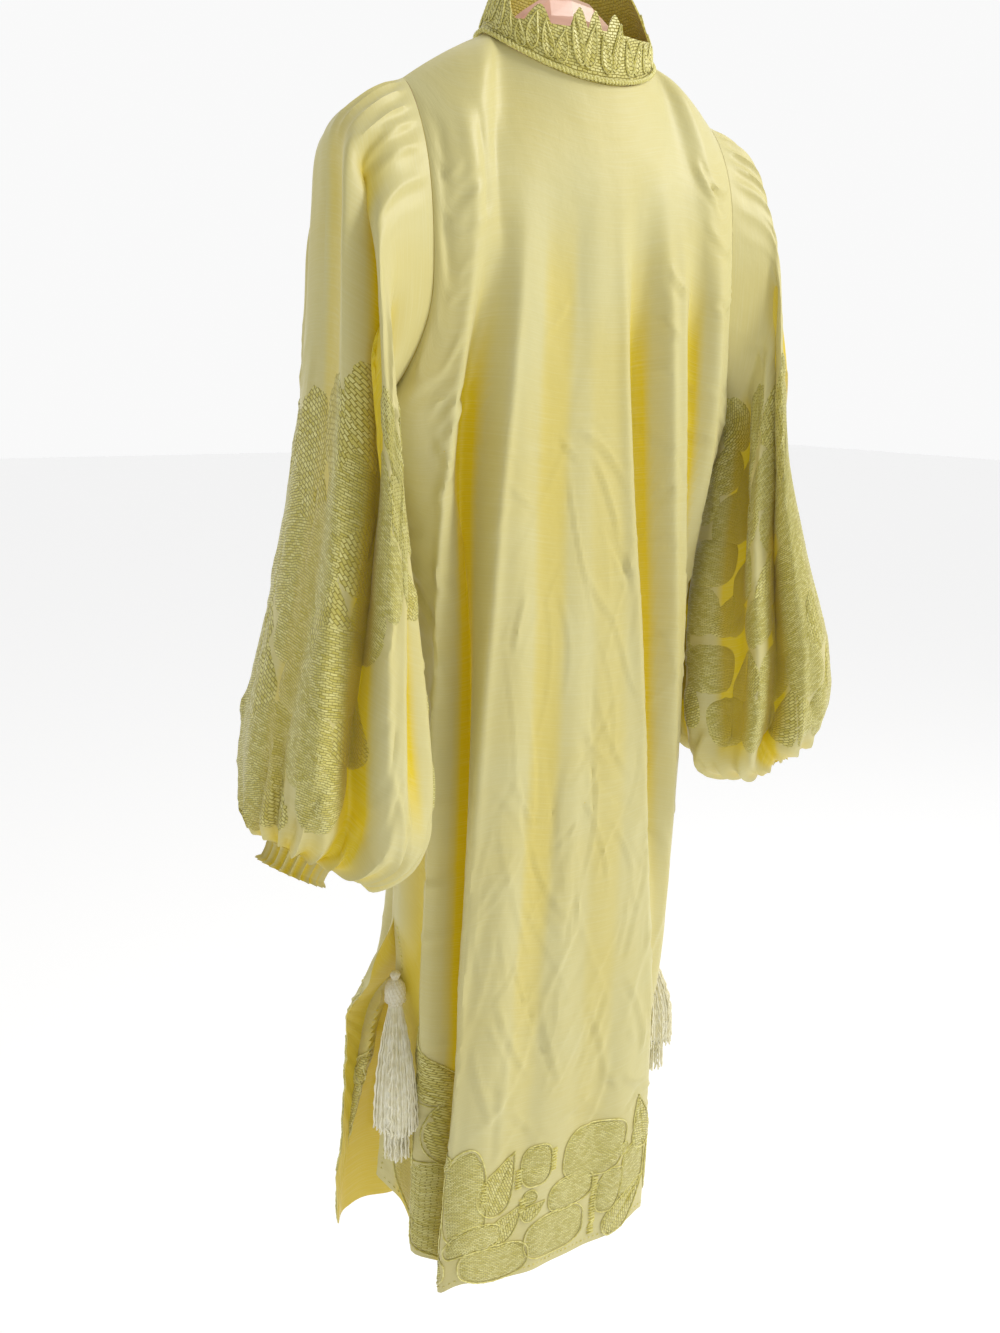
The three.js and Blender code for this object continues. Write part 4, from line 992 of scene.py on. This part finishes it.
@functools.cache
def cloth_material():
    """Crisp pale cloth: a painted golden shade in its folds, faint crossways slubs, a fine plain weave and
    small dents in its bump, and a soft sheen. A weak glow in the folds is painted light that stands for light
    between layers."""
    c = bpy.context.scene.kaftan_cloth
    m = Finish(
        "crisp_pale_cloth", Roughness=0.46, Specular_IOR_Level=0.42, Sheen_Weight=c.sheen,
        Sheen_Roughness=0.35, Sheen_Tint=(1, 0.98, 0.8, 1), Emission_Strength=1,
    )
    uv = m.uv()
    # Painted shade: the base colour turns golden deep in the folds, and the folds glow as painted light.
    deep = m.painted_shade(0.6, 1)
    m.feed("Emission Color", m.mix(deep, (0, 0, 0), FOLD_GLOW))
    uneven = m.ranged(m.noise(uv, Scale=9, Detail=3), 0.35, 0.7, 0, 0.22)
    slubs = m.noise(m.mapped(uv, Scale=(26, 900, 1)), Scale=1, Detail=2)
    streak = m.ranged(slubs, 0.45, 0.75, 0, 0.16)
    colour = m.mix(uneven, m.mix(deep, c.cloth_colour, c.fold_shade_colour), c.fold_shade_colour)
    m.feed("Base Color", m.mix(streak, colour, SLUB_COLOUR))
    weave = m.add("TexChecker", m.mapped(uv, Scale=(2600, 2600, 1)), Scale=1).outputs["Fac"]
    crumpled = m.mapped(uv, Rotation=(0, 0, 0.5), Scale=(16, 7, 1))
    crumples = m.add("TexNoise", crumpled, Scale=1, Detail=3, Roughness=0.5, Distortion=1.1)
    crumples.noise_type = "RIDGED_MULTIFRACTAL"
    dents = m.noise(uv, Scale=70, Detail=4, Roughness=0.55)
    m.bumps(
        (weave, 0.12, 0.00006), (slubs, 0.12, 0.0002), (dents, 0.25, 0.0016),
        (crumples.outputs["Fac"], 0.5, 0.0035),
    )
    return m.material


@functools.cache
def stitched_material(name, turn, width, height, gap):
    """Satin stitches: staggered threads side by side, each of its own tint, ridged by the bump, with painted
    shade where they lie deep in the cloth's folds.
    """
    c = bpy.context.scene.kaftan_stitches
    m = Finish(name, Roughness=0.4, Specular_IOR_Level=0.5, Sheen_Weight=0.2)
    place = m.mapped(m.uv(), Rotation=(0, 0, turn * DEGREE), Scale=(1000, 1000, 1000))
    bend = m.add("TexNoise", place, Scale=0.12, Detail=1)
    wander = m.add("VectorMath")
    wander.operation = "MULTIPLY_ADD"
    wander.inputs[1].default_value = (2.4, 2.4, 0)
    m.tree.links.new(bend.outputs["Color"], wander.inputs[0])
    m.tree.links.new(place, wander.inputs[2])
    threads = m.add(
        "TexBrick", wander.outputs[0], Scale=1, Mortar_Size=gap, Mortar_Smooth=1, Brick_Width=width,
        Row_Height=height, Color1=(*c.stitch_colour, 1), Color2=(*c.bright_colour, 1),
        Mortar=(*c.gap_colour, 1),
    )
    threads.offset = 0.5
    # Painted shade: stitches that lie deep in the folds turn to the fold shade colour.
    fold = bpy.context.scene.kaftan_cloth.fold_shade_colour
    m.feed("Base Color", m.mix(m.painted_shade(0.7, 0.85), threads.outputs["Color"], fold))
    gaps = threads.outputs["Fac"]
    m.bumps((m.noise(place, Scale=1.4, Detail=2), 0.25, 0.0003), (gaps, 0.9, 0.0006), inverted=gaps)
    return m.material


def rows_material():
    return stitched_material("stitched_rows", 0, 4.4, 1.7, 0.34)


def net_material():
    return stitched_material("stitched_net", 38, 4.2, 2.5, 0.5)


def collar_material():
    return stitched_material("stitched_collar", 0, 4.0, 2.3, 0.5)


def thread_material(name, low, high, scale, roughness):
    """Thread: two tints mixed by noise, with fine fibres in the bump."""
    m = Finish(name, Roughness=roughness, Sheen_Weight=0.3)
    place = m.place()
    factor = m.ranged(m.noise(place, Scale=scale, Detail=3), 0.35, 0.65, 0, 1)
    m.feed("Base Color", m.mix(factor, low, high))
    m.bumps((m.noise(place, Scale=scale * 9, Detail=2), 0.5, 0.0003))
    return m.material


@functools.cache
def rope_material():
    c = bpy.context.scene.kaftan_stitches
    return thread_material("corded_thread", c.stitch_colour, c.bright_colour, 300, 0.36)


def wood_material():
    """Lacquered wood with rings stretched along the arms; the right arm takes darker colours as painted
    shade, for the arm that turns away from the light.
    """
    c = bpy.context.scene.kaftan_hanger
    m = Finish("lacquered_wood", Roughness=0.38, Coat_Weight=0.35, Coat_Roughness=0.2)
    place = m.place()
    warp = m.noise(m.mapped(place, Scale=(4, 60, 60)), Scale=1, Detail=5, Roughness=0.6, Distortion=0.6)
    grain = m.ranged(warp, 0.3, 0.7, 0, 1)
    split = m.add("SeparateXYZ")
    m.tree.links.new(place, split.inputs[0])
    # Painted shade: past the joint the right arm takes darker colours.
    side = m.ranged(split.outputs["X"], c.joint - 0.0006, c.joint + 0.0006, 0, 1)
    left = m.mix(grain, (0.62, 0.3, 0.2), (0.78, 0.44, 0.31))
    right = m.mix(grain, (0.42, 0.2, 0.09), (0.6, 0.33, 0.16))
    m.feed("Base Color", m.mix(side, left, right))
    m.bumps((warp, 0.15, 0.0004))
    return m.material


def wire_material():
    """Plated steel wire with faint spots."""
    m = Finish("plated_wire", Metallic=1, Roughness=0.28)
    spots = m.noise(m.place(), Scale=220, Detail=3)
    m.feed("Base Color", m.mix(spots, (0.6, 0.6, 0.58), (0.72, 0.72, 0.71)))
    m.bumps((spots, 0.1, 0.0002))
    return m.material


# Tassels

TASSEL_PLACE = {-1: (-141.2, 40, TASSEL_TOP_Z), 1: (145.2, 40, TASSEL_TOP_Z)}
TASSEL_HEAD = table(
    ["radius", "z"],
    [
        [0, 0], [3.2, -1], [4.6, -4.2], [3.4, -7.6], [5.2, -9], [8.4, -13],
        [9.6, -19], [9.6, -25], [9.9, -27.5], [6, -29.5], [6.2, -32], [0, -32.2],
    ],
)
SKIRT_TOP = 30
SKIRT_LENGTH = 118
INNER_SKIRT_EXTRA = 30
SKIRT_TOP_RADIUS = 5.2
SKIRT_RADIUS = 20.5
TASSEL_LEAN = (-12.0, -22.0, 0.0)
TASSEL_LEAN_DEPTH = 110
THREAD_SIDES = 4


def tassel_lean(depth):
    return smooth(0, TASSEL_LEAN_DEPTH, depth)[..., None] * np.array(TASSEL_LEAN)


def around_axis(radius, turn, depth):
    """Points around the leaning axis, at a radius and a depth below the tassel's top."""
    points = np.stack(np.broadcast_arrays(radius * np.cos(turn), radius * np.sin(turn), -depth), axis=-1)
    return points + tassel_lean(-points[..., 2])


def skirt_radius(part):
    """From the neck's radius to the skirt's, by one less the square of what is left."""
    return SKIRT_TOP_RADIUS + (SKIRT_RADIUS - SKIRT_TOP_RADIUS) * (1 - (1 - part) ** 2)


def tassel_head():
    """Turned profile with a plaited net of ridges on its bulb."""
    rows, columns = 54, 96
    knots = np.linspace(0, 1, len(TASSEL_HEAD["z"]))
    share = np.linspace(0, 1, rows)
    radius, z = (curve(knots, TASSEL_HEAD[name], share)[:, None] for name in ("radius", "z"))
    turn = (np.arange(columns) * 2 * math.pi / columns)[None]
    plait = np.abs(np.sin(8 * turn + z * 0.45)) * np.abs(np.sin(8 * turn - z * 0.45))
    radius = radius + (0.9 * plait - 0.4) * smooth(2.5, 5, radius) * smooth(0, 0.1, share[:, None])
    radius[0] = radius[-1] = 0.02
    points = around_axis(radius, turn, -z)
    return points.reshape(-1, 3), tube_faces(rows, columns, False, 0)


def tassel_core():
    """Inner body of the skirt: the threads' cone a little smaller, with fine upright ridges
    and a ragged lower edge, closed at both ends."""
    rows, columns = 26, 150
    share = np.linspace(0, 1, rows)[:, None]
    turn = (np.arange(columns) * 2 * math.pi / columns)[None]
    ragged = 4 * np.abs(np.sin(9 * turn)) + 3 * np.abs(np.sin(23 * turn + 1))
    depth = SKIRT_TOP - 1 + share * (SKIRT_LENGTH - 3 - ragged * share)
    part = np.clip((depth - SKIRT_TOP) / SKIRT_LENGTH, 0, 1)
    size = skirt_radius(part)
    radius = 0.88 * size + 0.5 * np.sin(37 * turn + 3 * np.sin(4 * turn) + depth / 14) * smooth(0, 0.2, share)
    points = around_axis(radius, turn, depth)
    return points.reshape(-1, 3), tube_faces(rows, columns, False, 0)


def tassel_threads(count, seed):
    """Wavy threads spread by the golden angle: they leave the neck, widen by one less the
    square of what is left of their length, and curl sideways by two sines."""
    rng = np.random.default_rng(seed)
    k = np.arange(count)[:, None]
    share = np.sqrt((k + 0.5) / count)
    turn = k * math.pi * (3 - math.sqrt(5))
    length = SKIRT_LENGTH + np.where(share < 0.6, INNER_SKIRT_EXTRA, 0) - 9 * ((k * 0.618) % 1)
    part = np.linspace(0, 1, 28)[None]
    depth = SKIRT_TOP + part * length
    size = skirt_radius(part)
    stray = np.where(rng.random((count, 1)) < 0.07, 3.2, 1)
    wave = rng.uniform(9, 15, (count, 1))
    swing = stray * smooth(0, 0.25, part) * rng.uniform(0.25, 0.7, (count, 1))
    phases = rng.uniform(0, 2 * math.pi, (4, count, 1))
    a = swing * (np.sin(depth / wave * 2 * math.pi + phases[0]) + 0.8 * np.sin(depth / 31 + phases[2]))
    b = swing * (np.sin(depth / wave * 2 * math.pi * 0.83 + phases[1]) + 0.8 * np.sin(depth / 37 + phases[3]))
    points = np.stack([share * size * np.cos(turn) + a, share * size * np.sin(turn) + b, -depth], axis=-1)
    return points + tassel_lean(depth)


# Stage


def number(name, description, default, **more):
    return bpy.props.FloatProperty(name=name, description=description, default=default, **more)


def colour(name, description, default):
    return bpy.props.FloatVectorProperty(
        name=name, description=description, default=default, subtype="COLOR"
    )


class StageSettings(bpy.types.PropertyGroup):
    key_power: number("Key light", "Power of the large light", 54, unit="POWER")
    fill_power: number("Fill light", "Power of the small light", 1.5, unit="POWER")
    surround: number("Surround", "Strength of the white surround", 0.95)
    dark_side: number("Dark side", "Strength of the surround at the front left", 0.42)
    floor_drop: number("Floor", "Height of the floor under the hook", -1.75, unit="LENGTH")


class ClothSettings(bpy.types.PropertyGroup):
    wall: number("Thickness", "Thickness of the cloth", WALL * MM, unit="LENGTH")
    cloth_colour: colour("Cloth", "Colour of the lit cloth", (0.64, 0.585, 0.27))
    # Painted shade: the colour that the cloth turns deep in its folds.
    fold_shade_colour: colour("Folds", "Colour deep in the folds", (0.62, 0.46, 0.012))
    sheen: number("Sheen", "Strength of the soft sheen", 0.25, subtype="FACTOR")


class StitchSettings(bpy.types.PropertyGroup):
    stitch_colour: colour("Stitches", "Colour of most stitches", (0.59, 0.52, 0.1))
    bright_colour: colour("Bright stitches", "Colour of the brightest stitches", (0.79, 0.74, 0.28))
    gap_colour: colour("Between stitches", "Colour between the stitches", (0.34, 0.27, 0.015))


class TasselSettings(bpy.types.PropertyGroup):
    threads: bpy.props.IntProperty(name="Threads", description="Threads of one skirt", default=120)
    thread_radius: number("Thread radius", "Radius of one thread", 0.00075, unit="LENGTH", precision=5)
    thread_colour: colour("Threads", "Colour of the lit threads", (0.95, 0.92, 0.74))
    deep_colour: colour("Deep threads", "Colour of the darker threads", (0.82, 0.77, 0.52))


class HangerSettings(bpy.types.PropertyGroup):
    # The right arm's painted shade starts at the joint.
    joint: number("Joint", "Place across the hanger where its two arms meet", 0.0, unit="LENGTH")


# Flat cuts in metres: width and length, and area where the cut isn't a rectangle
FRONT_CUT = (0.57, 1.17, 0.51)
BACK_CUT = (0.56, 1.18, 0.465)

# Camera as found for the photograph: where it stands in the row frame, and how it is turned
CAMERA_PLACE = (-0.683, -0.936, -0.3641)
CAMERA_AZIMUTH = -33.8
CAMERA_PITCH = 12.7
CAMERA_ROLL = 0.9
SENSOR_WIDTH = 36
CAMERA_LENS = SENSOR_WIDTH * 1300 / 1333
KEY_PLACE = (1.9, -1.7, 1.3)
FILL_PLACE = (-0.6, -2.6, 0.2)
FLOOR_HALF_SIZE = 20
FLOOR_GLOW = 0.17

# The surround is white towards this direction, behind the garment, and dimmer away from it
BRIGHT_SIDE = (0.62, 0.77, 0.15)
DIM_TO_BRIGHT = (-0.5, 0.35)


def camera_axes():
    """Right, up and forward of the camera from its azimuth, its pitch down and its roll."""
    a, p, r = (x * DEGREE for x in (CAMERA_AZIMUTH, CAMERA_PITCH, CAMERA_ROLL))
    forward = np.array([-math.sin(a) * math.cos(p), math.cos(a) * math.cos(p), -math.sin(p)])
    right = np.array([math.cos(a), math.sin(a), 0])
    up = np.cross(right, forward)
    return right * math.cos(r) + up * math.sin(r), up * math.cos(r) - right * math.sin(r), forward


def area_light(name, place, target, size, power, colour):
    data = bpy.data.lights.new(name, "AREA")
    data.shape, data.size, data.energy, data.color = "DISK", size, power, colour
    light = bpy.data.objects.new(name, data)
    light.location = place
    light.rotation_euler = (Vector(target) - Vector(place)).to_track_quat("-Z", "Y").to_euler()
    bpy.context.scene.collection.objects.link(light)


class MakeStage(bpy.types.Operator):
    """Camera, soft lights, white surround and a plain pale floor."""

    bl_idname = "kaftan.stage"
    bl_label = "Stage"

    def execute(self, context):
        c = context.scene.kaftan_stage
        right, up, forward = camera_axes()
        data = bpy.data.cameras.new("camera")
        data.lens, data.sensor_width = CAMERA_LENS, SENSOR_WIDTH
        camera = bpy.data.objects.new("camera", data)
        turn = Matrix([[*row] for row in np.stack([right, up, -forward], axis=1)]).to_4x4()
        camera.matrix_world = Matrix.Translation(CAMERA_PLACE) @ turn
        context.scene.collection.objects.link(camera)
        context.scene.camera = camera
        world = bpy.data.worlds.new("surround")
        context.scene.world = world
        world.use_nodes = True
        tree = world.node_tree
        back = tree.nodes["Background"]
        back.inputs[0].default_value = (1, 1, 1, 1)
        place = tree.nodes.new("ShaderNodeTexCoord")
        toward = tree.nodes.new("ShaderNodeVectorMath")
        toward.operation = "DOT_PRODUCT"
        toward.inputs[1].default_value = BRIGHT_SIDE
        tree.links.new(place.outputs["Generated"], toward.inputs[0])
        strength = map_value(tree, toward.outputs["Value"], *DIM_TO_BRIGHT, c.dark_side, c.surround)
        tree.links.new(strength, back.inputs[1])
        area_light("key", KEY_PLACE, (0, 0, -0.5), 1.1, c.key_power, (1, 0.985, 0.95))
        area_light("fill", FILL_PLACE, (0, 0, -0.6), 1.2, c.fill_power, (1, 1, 1))
        mesh = bpy.data.meshes.new("floor")
        sides = ((-1, -1), (1, -1), (1, 1), (-1, 1))
        corners = [(x * FLOOR_HALF_SIZE, y * FLOOR_HALF_SIZE, c.floor_drop) for x, y in sides]
        mesh.from_pydata(corners, [], [(0, 1, 2, 3)])
        m = Finish("pale_floor", Roughness=0.9, Emission_Color=(1, 1, 1, 1), Emission_Strength=FLOOR_GLOW)
        grain = m.add("TexNoise", Scale=3, Detail=2).outputs["Fac"]
        m.feed("Base Color", m.mix(grain, (0.95, 0.95, 0.95), (0.97, 0.97, 0.97)))
        mesh.materials.append(m.material)
        floor = bpy.data.objects.new("floor", mesh)
        context.scene.collection.objects.link(floor)
        context.scene.view_settings.view_transform = "Standard"
        context.scene.view_settings.exposure = 0
        return {"FINISHED"}


# Embroidery: places and sizes on the cloth in millimetres, kind by kind
# (x, y, half width, half height, turn), y counted up from the hem or down from the armhole

HEM_PATCHES = {
    "petal": [
        (-108, 94, 22, 50, 4), (-32, 118, 17, 22, 0), (38, 110, 38, 30, -6), (12, 73, 28, 18, 0),
        (-5, 34, 36, 24, 0), (60, 56, 15, 25, -8), (-74, 20, 38, 20, 4), (-96, 48, 30, 14, 14),
        (90, 62, 18, 30, 0),
    ],
    "leaf": [
        (-72, 106, 20, 36, -24), (84, 24, 20, 32, -52), (-33, 69, 9, 14, -60), (98, 110, 15, 34, 12),
        (-60, 62, 14, 26, -40),
    ],
    "lens": [(-38, 85, 7.5, 7.5, 0), (74, 96, 6, 6, 0), (-128, 140, 6, 7, 0)],
}
CORNER_PETAL = (128, 52, 16, 34, 0)
HEM_LADDERS = [(-13, 131, 107), (-51, 120, 98), (-89, 110, 88), (42, 78, 12), (-46, 88, 72)]
SIDE_PATCHES = {
    "petal": [(-156, 62, 26, 42, 0), (-196, 38, 20, 30, 6), (-150, 22, 26, 18, 0)],
    "leaf": [(-150, 142, 22, 46, 6), (-190, 112, 20, 42, -8), (-168, 200, 18, 36, 14)],
    "lens": [(-176, 158, 6, 6, 0), (-205, 76, 6, 6, 0)],
}
# Plain stretches of each sleeve's embroidered band: (x from, x to, z from, z to)
SLEEVE_PLAIN = {
    -1: [(116, 236, -900, -425)],
    1: [(128, 150, -900, -560)],
}
SLEEVE_BAND = {-1: (-318, -640), 1: (-292, -610)}
PATCH_SPACING = (42, 46)
PATCH_HALF = (26, 33)


def height_on(surface, x, z):
    """Place y along the cloth where its column at x comes down to height z."""
    step = surface.x[0, 1] - surface.x[0, 0]
    column = int(round(x / step)) % surface.x.shape[1]
    return float(np.interp(-z, -surface.points[:, column, 2], surface.y[:, column]))


def sleeve_patches(side):
    """Staggered rows of overlapping patches round the sleeve's lower half: lobed ones on top,
    then pointed and rounded ones by turns, each shifted, turned and sized at random."""
    rng = np.random.default_rng(70 + side)
    high, low = SLEEVE_BAND[side]
    around = 360 * MM_A_DEGREE
    columns = int(around / PATCH_SPACING[0])
    patches = {"scallop": [], "petal": [], "leaf": []}
    for level, z in enumerate(np.arange(high, low, -PATCH_SPACING[1])):
        for column in range(columns):
            x = (column + 0.5 * (level % 2)) * around / columns + rng.uniform(-5, 5)
            place = z + rng.uniform(-8, 8) + 12 * math.sin(x / around * 4 * math.pi)
            size = rng.uniform(0.85, 1.12)
            kind = "scallop" if level == 0 else ("petal", "leaf", "petal")[(column + level) % 3]
            y = height_on(sleeve(side), x, place)
            row = (x, y, PATCH_HALF[0] * size, PATCH_HALF[1] * size, rng.uniform(-14, 14))
            if not any(a < x < b and c < place < d for a, b, c, d in SLEEVE_PLAIN[side]):
                patches[kind].append(row)
    return patches


BACK_SHOULDER_PATCHES = {
    "petal": [(-96, 1052, 20, 22, 10), (96, 1052, 20, 22, -10)],
    "leaf": [
        (-124, 1010, 13, 26, 14), (124, 1010, 13, 26, -14),
        (-62, 1030, 13, 26, -12), (62, 1030, 13, 26, 12),
    ],
}
LADDER_STEP = 3.2
BAR_HALF = (4.6, 0.95)
PATCH_LIFT = 0.9
STITCH_STEP = 5
STITCH_INSET = 6
STITCH_HALF = (1.6, 0.45)


def mirrored(patches):
    return {kind: [(-x, y, w, h, -turn) for x, y, w, h, turn in rows] for kind, rows in patches.items()}


def gathered_rows(*sets):
    """One list of rows for each kind."""
    kinds = sorted({kind for one in sets for kind in one})
    return {kind: [row for one in sets for row in one.get(kind, [])] for kind in kinds}


def embroider(label, surface, patches, corded=True):
    """Patches, with corded edges if asked; leaves also get a vein and a diagonal net of stitches."""
    made = []
    for kind, rows in patches.items():
        if len(rows) == 0:
            continue
        material = net_material() if kind in ("leaf", "scallop") else rows_material()
        vein = 0.9 if kind == "leaf" else 0
        made.append(appliques(f"{label}_{kind}", surface, kind, rows, material, PATCH_LIFT, vein=vein))
        if corded:
            made.append(rope_outlines(f"{label}_{kind}_edge", surface, kind, rows, rope_material()))
    return made


def bars(name, surface, ladders):
    """Short satin bars stacked up each ladder (x, high, low)."""
    rows = []
    for x, high, low in ladders:
        rows += [(x, y, *BAR_HALF, 6) for y in np.arange(low, high, LADDER_STEP)]
    piece = appliques(name, surface, "lens", rows, rope_material(), 1.3, rings=3, spokes=8)
    return piece


def dashes(name, surface, places, turn):
    """Running stitches: small raised ellipses at places (x, y) with one turn each."""
    rows = np.column_stack([places, np.tile(STITCH_HALF, (len(places), 1)), turn])
    piece = appliques(name, surface, "lens", rows, rope_material(), 0.55, rings=2, spokes=6)
    return piece


def edge_stitches(label, surface):
    """A row of stitches a little above the hem, and one as far inside each slit's edge."""
    levels = np.arange(0, 300, STITCH_STEP)
    ends = np.interp(levels, surface.y[::-1, 0], surface.x[::-1, -1])
    hem = np.arange(-ends[2] + 10, ends[2] - 10, STITCH_STEP)
    heights = np.arange(14.0, 292.0, STITCH_STEP)
    x = np.interp(heights, levels, ends) - STITCH_INSET
    places = [np.column_stack([hem, 0 * hem + STITCH_INSET])]
    turns = [0 * hem]
    for side in (-1, 1):
        places.append(np.column_stack([side * x, heights]))
        turns.append(np.full(len(x), 90.0))
    return dashes(f"{label}_edge_stitches", surface, np.concatenate(places), np.concatenate(turns))


class MakePanels(bpy.types.Operator):
    """Front and back panels."""

    bl_idname = "kaftan.panels"
    bl_label = "Panels"

    def execute(self, context):
        wall = context.scene.kaftan_cloth.wall / MM
        front = wall_piece("front_cloth", panel(-1), wall, cloth_material())
        back = wall_piece("back_cloth", panel(1), wall, cloth_material(), BACK_OPENING_LENGTH)
        band = gathered_rows(HEM_PATCHES, SIDE_PATCHES, mirrored(SIDE_PATCHES), {"petal": [CORNER_PETAL]})
        on_front = embroider("front_hem", panel(-1), band)
        on_front += [bars("front_ladders", panel(-1), HEM_LADDERS), edge_stitches("front", panel(-1))]
        on_back = embroider("back_hem", panel(1), gathered_rows(mirrored(band), BACK_SHOULDER_PATCHES))
        ladders = [(-x, high, low) for x, high, low in HEM_LADDERS]
        on_back += [bars("back_ladders", panel(1), ladders), edge_stitches("back", panel(1))]
        made = ((front, "front_panel", FRONT_CUT, on_front), (back, "back_panel", BACK_CUT, on_back))
        for piece, cad, flat, on in made:
            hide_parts(cad)
        return {"FINISHED"}


class MakeSleeves(bpy.types.Operator):
    """Both sleeves and their elastic cuffs."""

    bl_idname = "kaftan.sleeves"
    bl_label = "Sleeves"

    def execute(self, context):
        wall = context.scene.kaftan_cloth.wall / MM
        for side, word in ((-1, "left"), (1, "right")):
            piece = wall_piece(f"sleeve_{word}_cloth", sleeve(side), wall, cloth_material())
            on_sleeve = embroider(f"sleeve_{word}", sleeve(side), sleeve_patches(side), corded=False)
            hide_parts(*(["sleeve_left"] if side < 0 else ["sleeve_right", "sleeve_right_lower"]))
            end = wall_piece(f"cuff_{word}_cloth", cuff(side), wall, cloth_material())
            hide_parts(f"cuff_{word}")
        return {"FINISHED"}


class MakeCollar(bpy.types.Operator):
    """Stand collar covered with stitches, its leaves and their corded edges."""

    bl_idname = "kaftan.collar"
    bl_label = "Collar"

    def execute(self, context):
        piece = wall_piece("collar_cloth", collar(), COLLAR_WALL, collar_material())
        angles = np.arange(-170, 171, 9.5)
        height = collar_top_z(angles) - neck_seam_z(angles)
        middle, half_width, half_height = 0.55 * height, 0 * angles + 4.6, 0.36 * height
        places = angles * MM_A_COLLAR_DEGREE
        rows = np.column_stack([places, middle, half_width, half_height, 12 * np.sin(angles)])
        on_collar = embroider("collar", collar(), {"leaf": rows})
        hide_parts("collar")
        return {"FINISHED"}


PIPING_PITCH = 7.0
PIPING_END = 178.2
PIPING_CLEARANCE = 0.6
STRAND_RADIUS = 1.15
STRAND_OFFSET = 0.95


class MakePiping(bpy.types.Operator):
    """Cord of two twisted strands on the neck seam: each strand is a helix round the cord's
    line, which runs clear of the collar."""

    bl_idname = "kaftan.piping"
    bl_label = "Neck cord"

    def execute(self, context):
        angles = np.linspace(-PIPING_END, PIPING_END, 900)
        out = np.stack([np.sin(angles * DEGREE), -np.cos(angles * DEGREE), 0 * angles], axis=-1)
        clear = PIPING_RADIUS + PIPING_CLEARANCE
        line = collar_point(angles, neck_seam_z(angles)) + out * clear + np.array([0, 0, clear])
        length = np.concatenate([[0], np.cumsum(np.linalg.norm(np.diff(line, axis=0), axis=1))])
        along = unit(np.gradient(line, axis=0))
        across = unit(np.cross(along, out))
        paths = []
        for start in (0, math.pi):
            turn = (length / PIPING_PITCH * 2 * math.pi + start)[:, None]
            paths.append(line + (out * np.cos(turn) + across * np.sin(turn)) * STRAND_OFFSET)
        paths = np.stack(paths)
        ups = np.broadcast_to(out, paths.shape)
        c = context.scene.kaftan_stitches
        material = thread_material("piping_thread", c.stitch_colour, c.bright_colour, 700, 0.4)
        piece = tubes("piping_cord", paths, np.full(paths.shape[:2], STRAND_RADIUS), ups, 8, False, material)
        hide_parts("neck_piping")
        return {"FINISHED"}


class MakeTassels(bpy.types.Operator):
    """Two tassels at the tops of the slits: plaited heads and wavy threads."""

    bl_idname = "kaftan.tassels"
    bl_label = "Tassels"

    def execute(self, context):
        c = context.scene.kaftan_tassels
        head_thread = thread_material("tassel_head_thread", (0.72, 0.66, 0.46), (0.84, 0.8, 0.63), 500, 0.55)
        thread = thread_material("tassel_thread", c.deep_colour, c.thread_colour, 160, 0.42)
        for side, word in ((-1, "left"), (1, "right")):
            mirror = np.array([-side, 1, 1])
            place = np.array(TASSEL_PLACE[side])
            points, faces = tassel_head()
            faces = [part[:, ::-side] for part in faces]
            head = make_mesh(f"tassel_{word}_head", points * mirror + place, faces, head_thread)
            paths = tassel_threads(c.threads, 5 + side)
            ups = unit(paths - tassel_lean(-paths[..., 2]) - paths[..., 2:] * (0, 0, 1) + (1e-3, 0, 0))
            part = np.linspace(0, 1, paths.shape[1])[None]
            radii = c.thread_radius / MM * (0.75 + 0.5 * smooth(0, 0.6, part)) + 0 * paths[..., 0]
            skirt_name, paths = f"tassel_{word}_skirt", paths * mirror + place
            skirt = tubes(skirt_name, paths, radii, ups * mirror, THREAD_SIDES, False, thread)
            points, faces = tassel_core()
            faces = [part[:, ::-side] for part in faces]
            core = make_mesh(f"tassel_{word}_core", points * mirror + place, faces, thread)
            for piece in (head, skirt, core):
                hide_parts(f"tassel_{word}")
        return {"FINISHED"}


class FinishHanger(bpy.types.Operator):
    """Lacquered wood for the hanger and plated steel for its hook, on the frame's own meshes."""

    bl_idname = "kaftan.hanger"
    bl_label = "Hanger"

    def execute(self, context):
        for name, material in (("hanger", wood_material()), ("hanger_hook", wire_material())):
            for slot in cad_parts[name].material_slots:
                slot.material = material
        return {"FINISHED"}


SETTINGS = {
    "kaftan_cloth": ClothSettings,
    "kaftan_stitches": StitchSettings,
    "kaftan_tassels": TasselSettings,
    "kaftan_hanger": HangerSettings,
    "kaftan_stage": StageSettings,
}
OPERATORS = [MakeStage, MakePanels, MakeSleeves, MakeCollar, MakePiping, MakeTassels, FinishHanger]


class KaftanPanel(bpy.types.Panel):
    bl_label = "Kaftan"
    bl_idname = "VIEW3D_PT_kaftan"
    bl_space_type = "VIEW_3D"
    bl_region_type = "UI"
    bl_category = "Kaftan"

    def draw(self, context):
        for operator in OPERATORS:
            self.layout.operator(operator.bl_idname)
        for name, settings in SETTINGS.items():
            box = self.layout.box()
            for field in settings.__annotations__:
                box.prop(getattr(context.scene, name), field)


def register():
    for made in (*SETTINGS.values(), *OPERATORS, KaftanPanel):
        bpy.utils.register_class(made)
    for name, settings in SETTINGS.items():
        setattr(bpy.types.Scene, name, bpy.props.PointerProperty(type=settings))


def unregister():
    for name in SETTINGS:
        delattr(bpy.types.Scene, name)
    for made in reversed((*SETTINGS.values(), *OPERATORS, KaftanPanel)):
        bpy.utils.unregister_class(made)


def main():
    register()
    for operator in OPERATORS:
        group, name = operator.bl_idname.split(".")
        getattr(getattr(bpy.ops, group), name)()


if __name__ == "__main__":
    main()
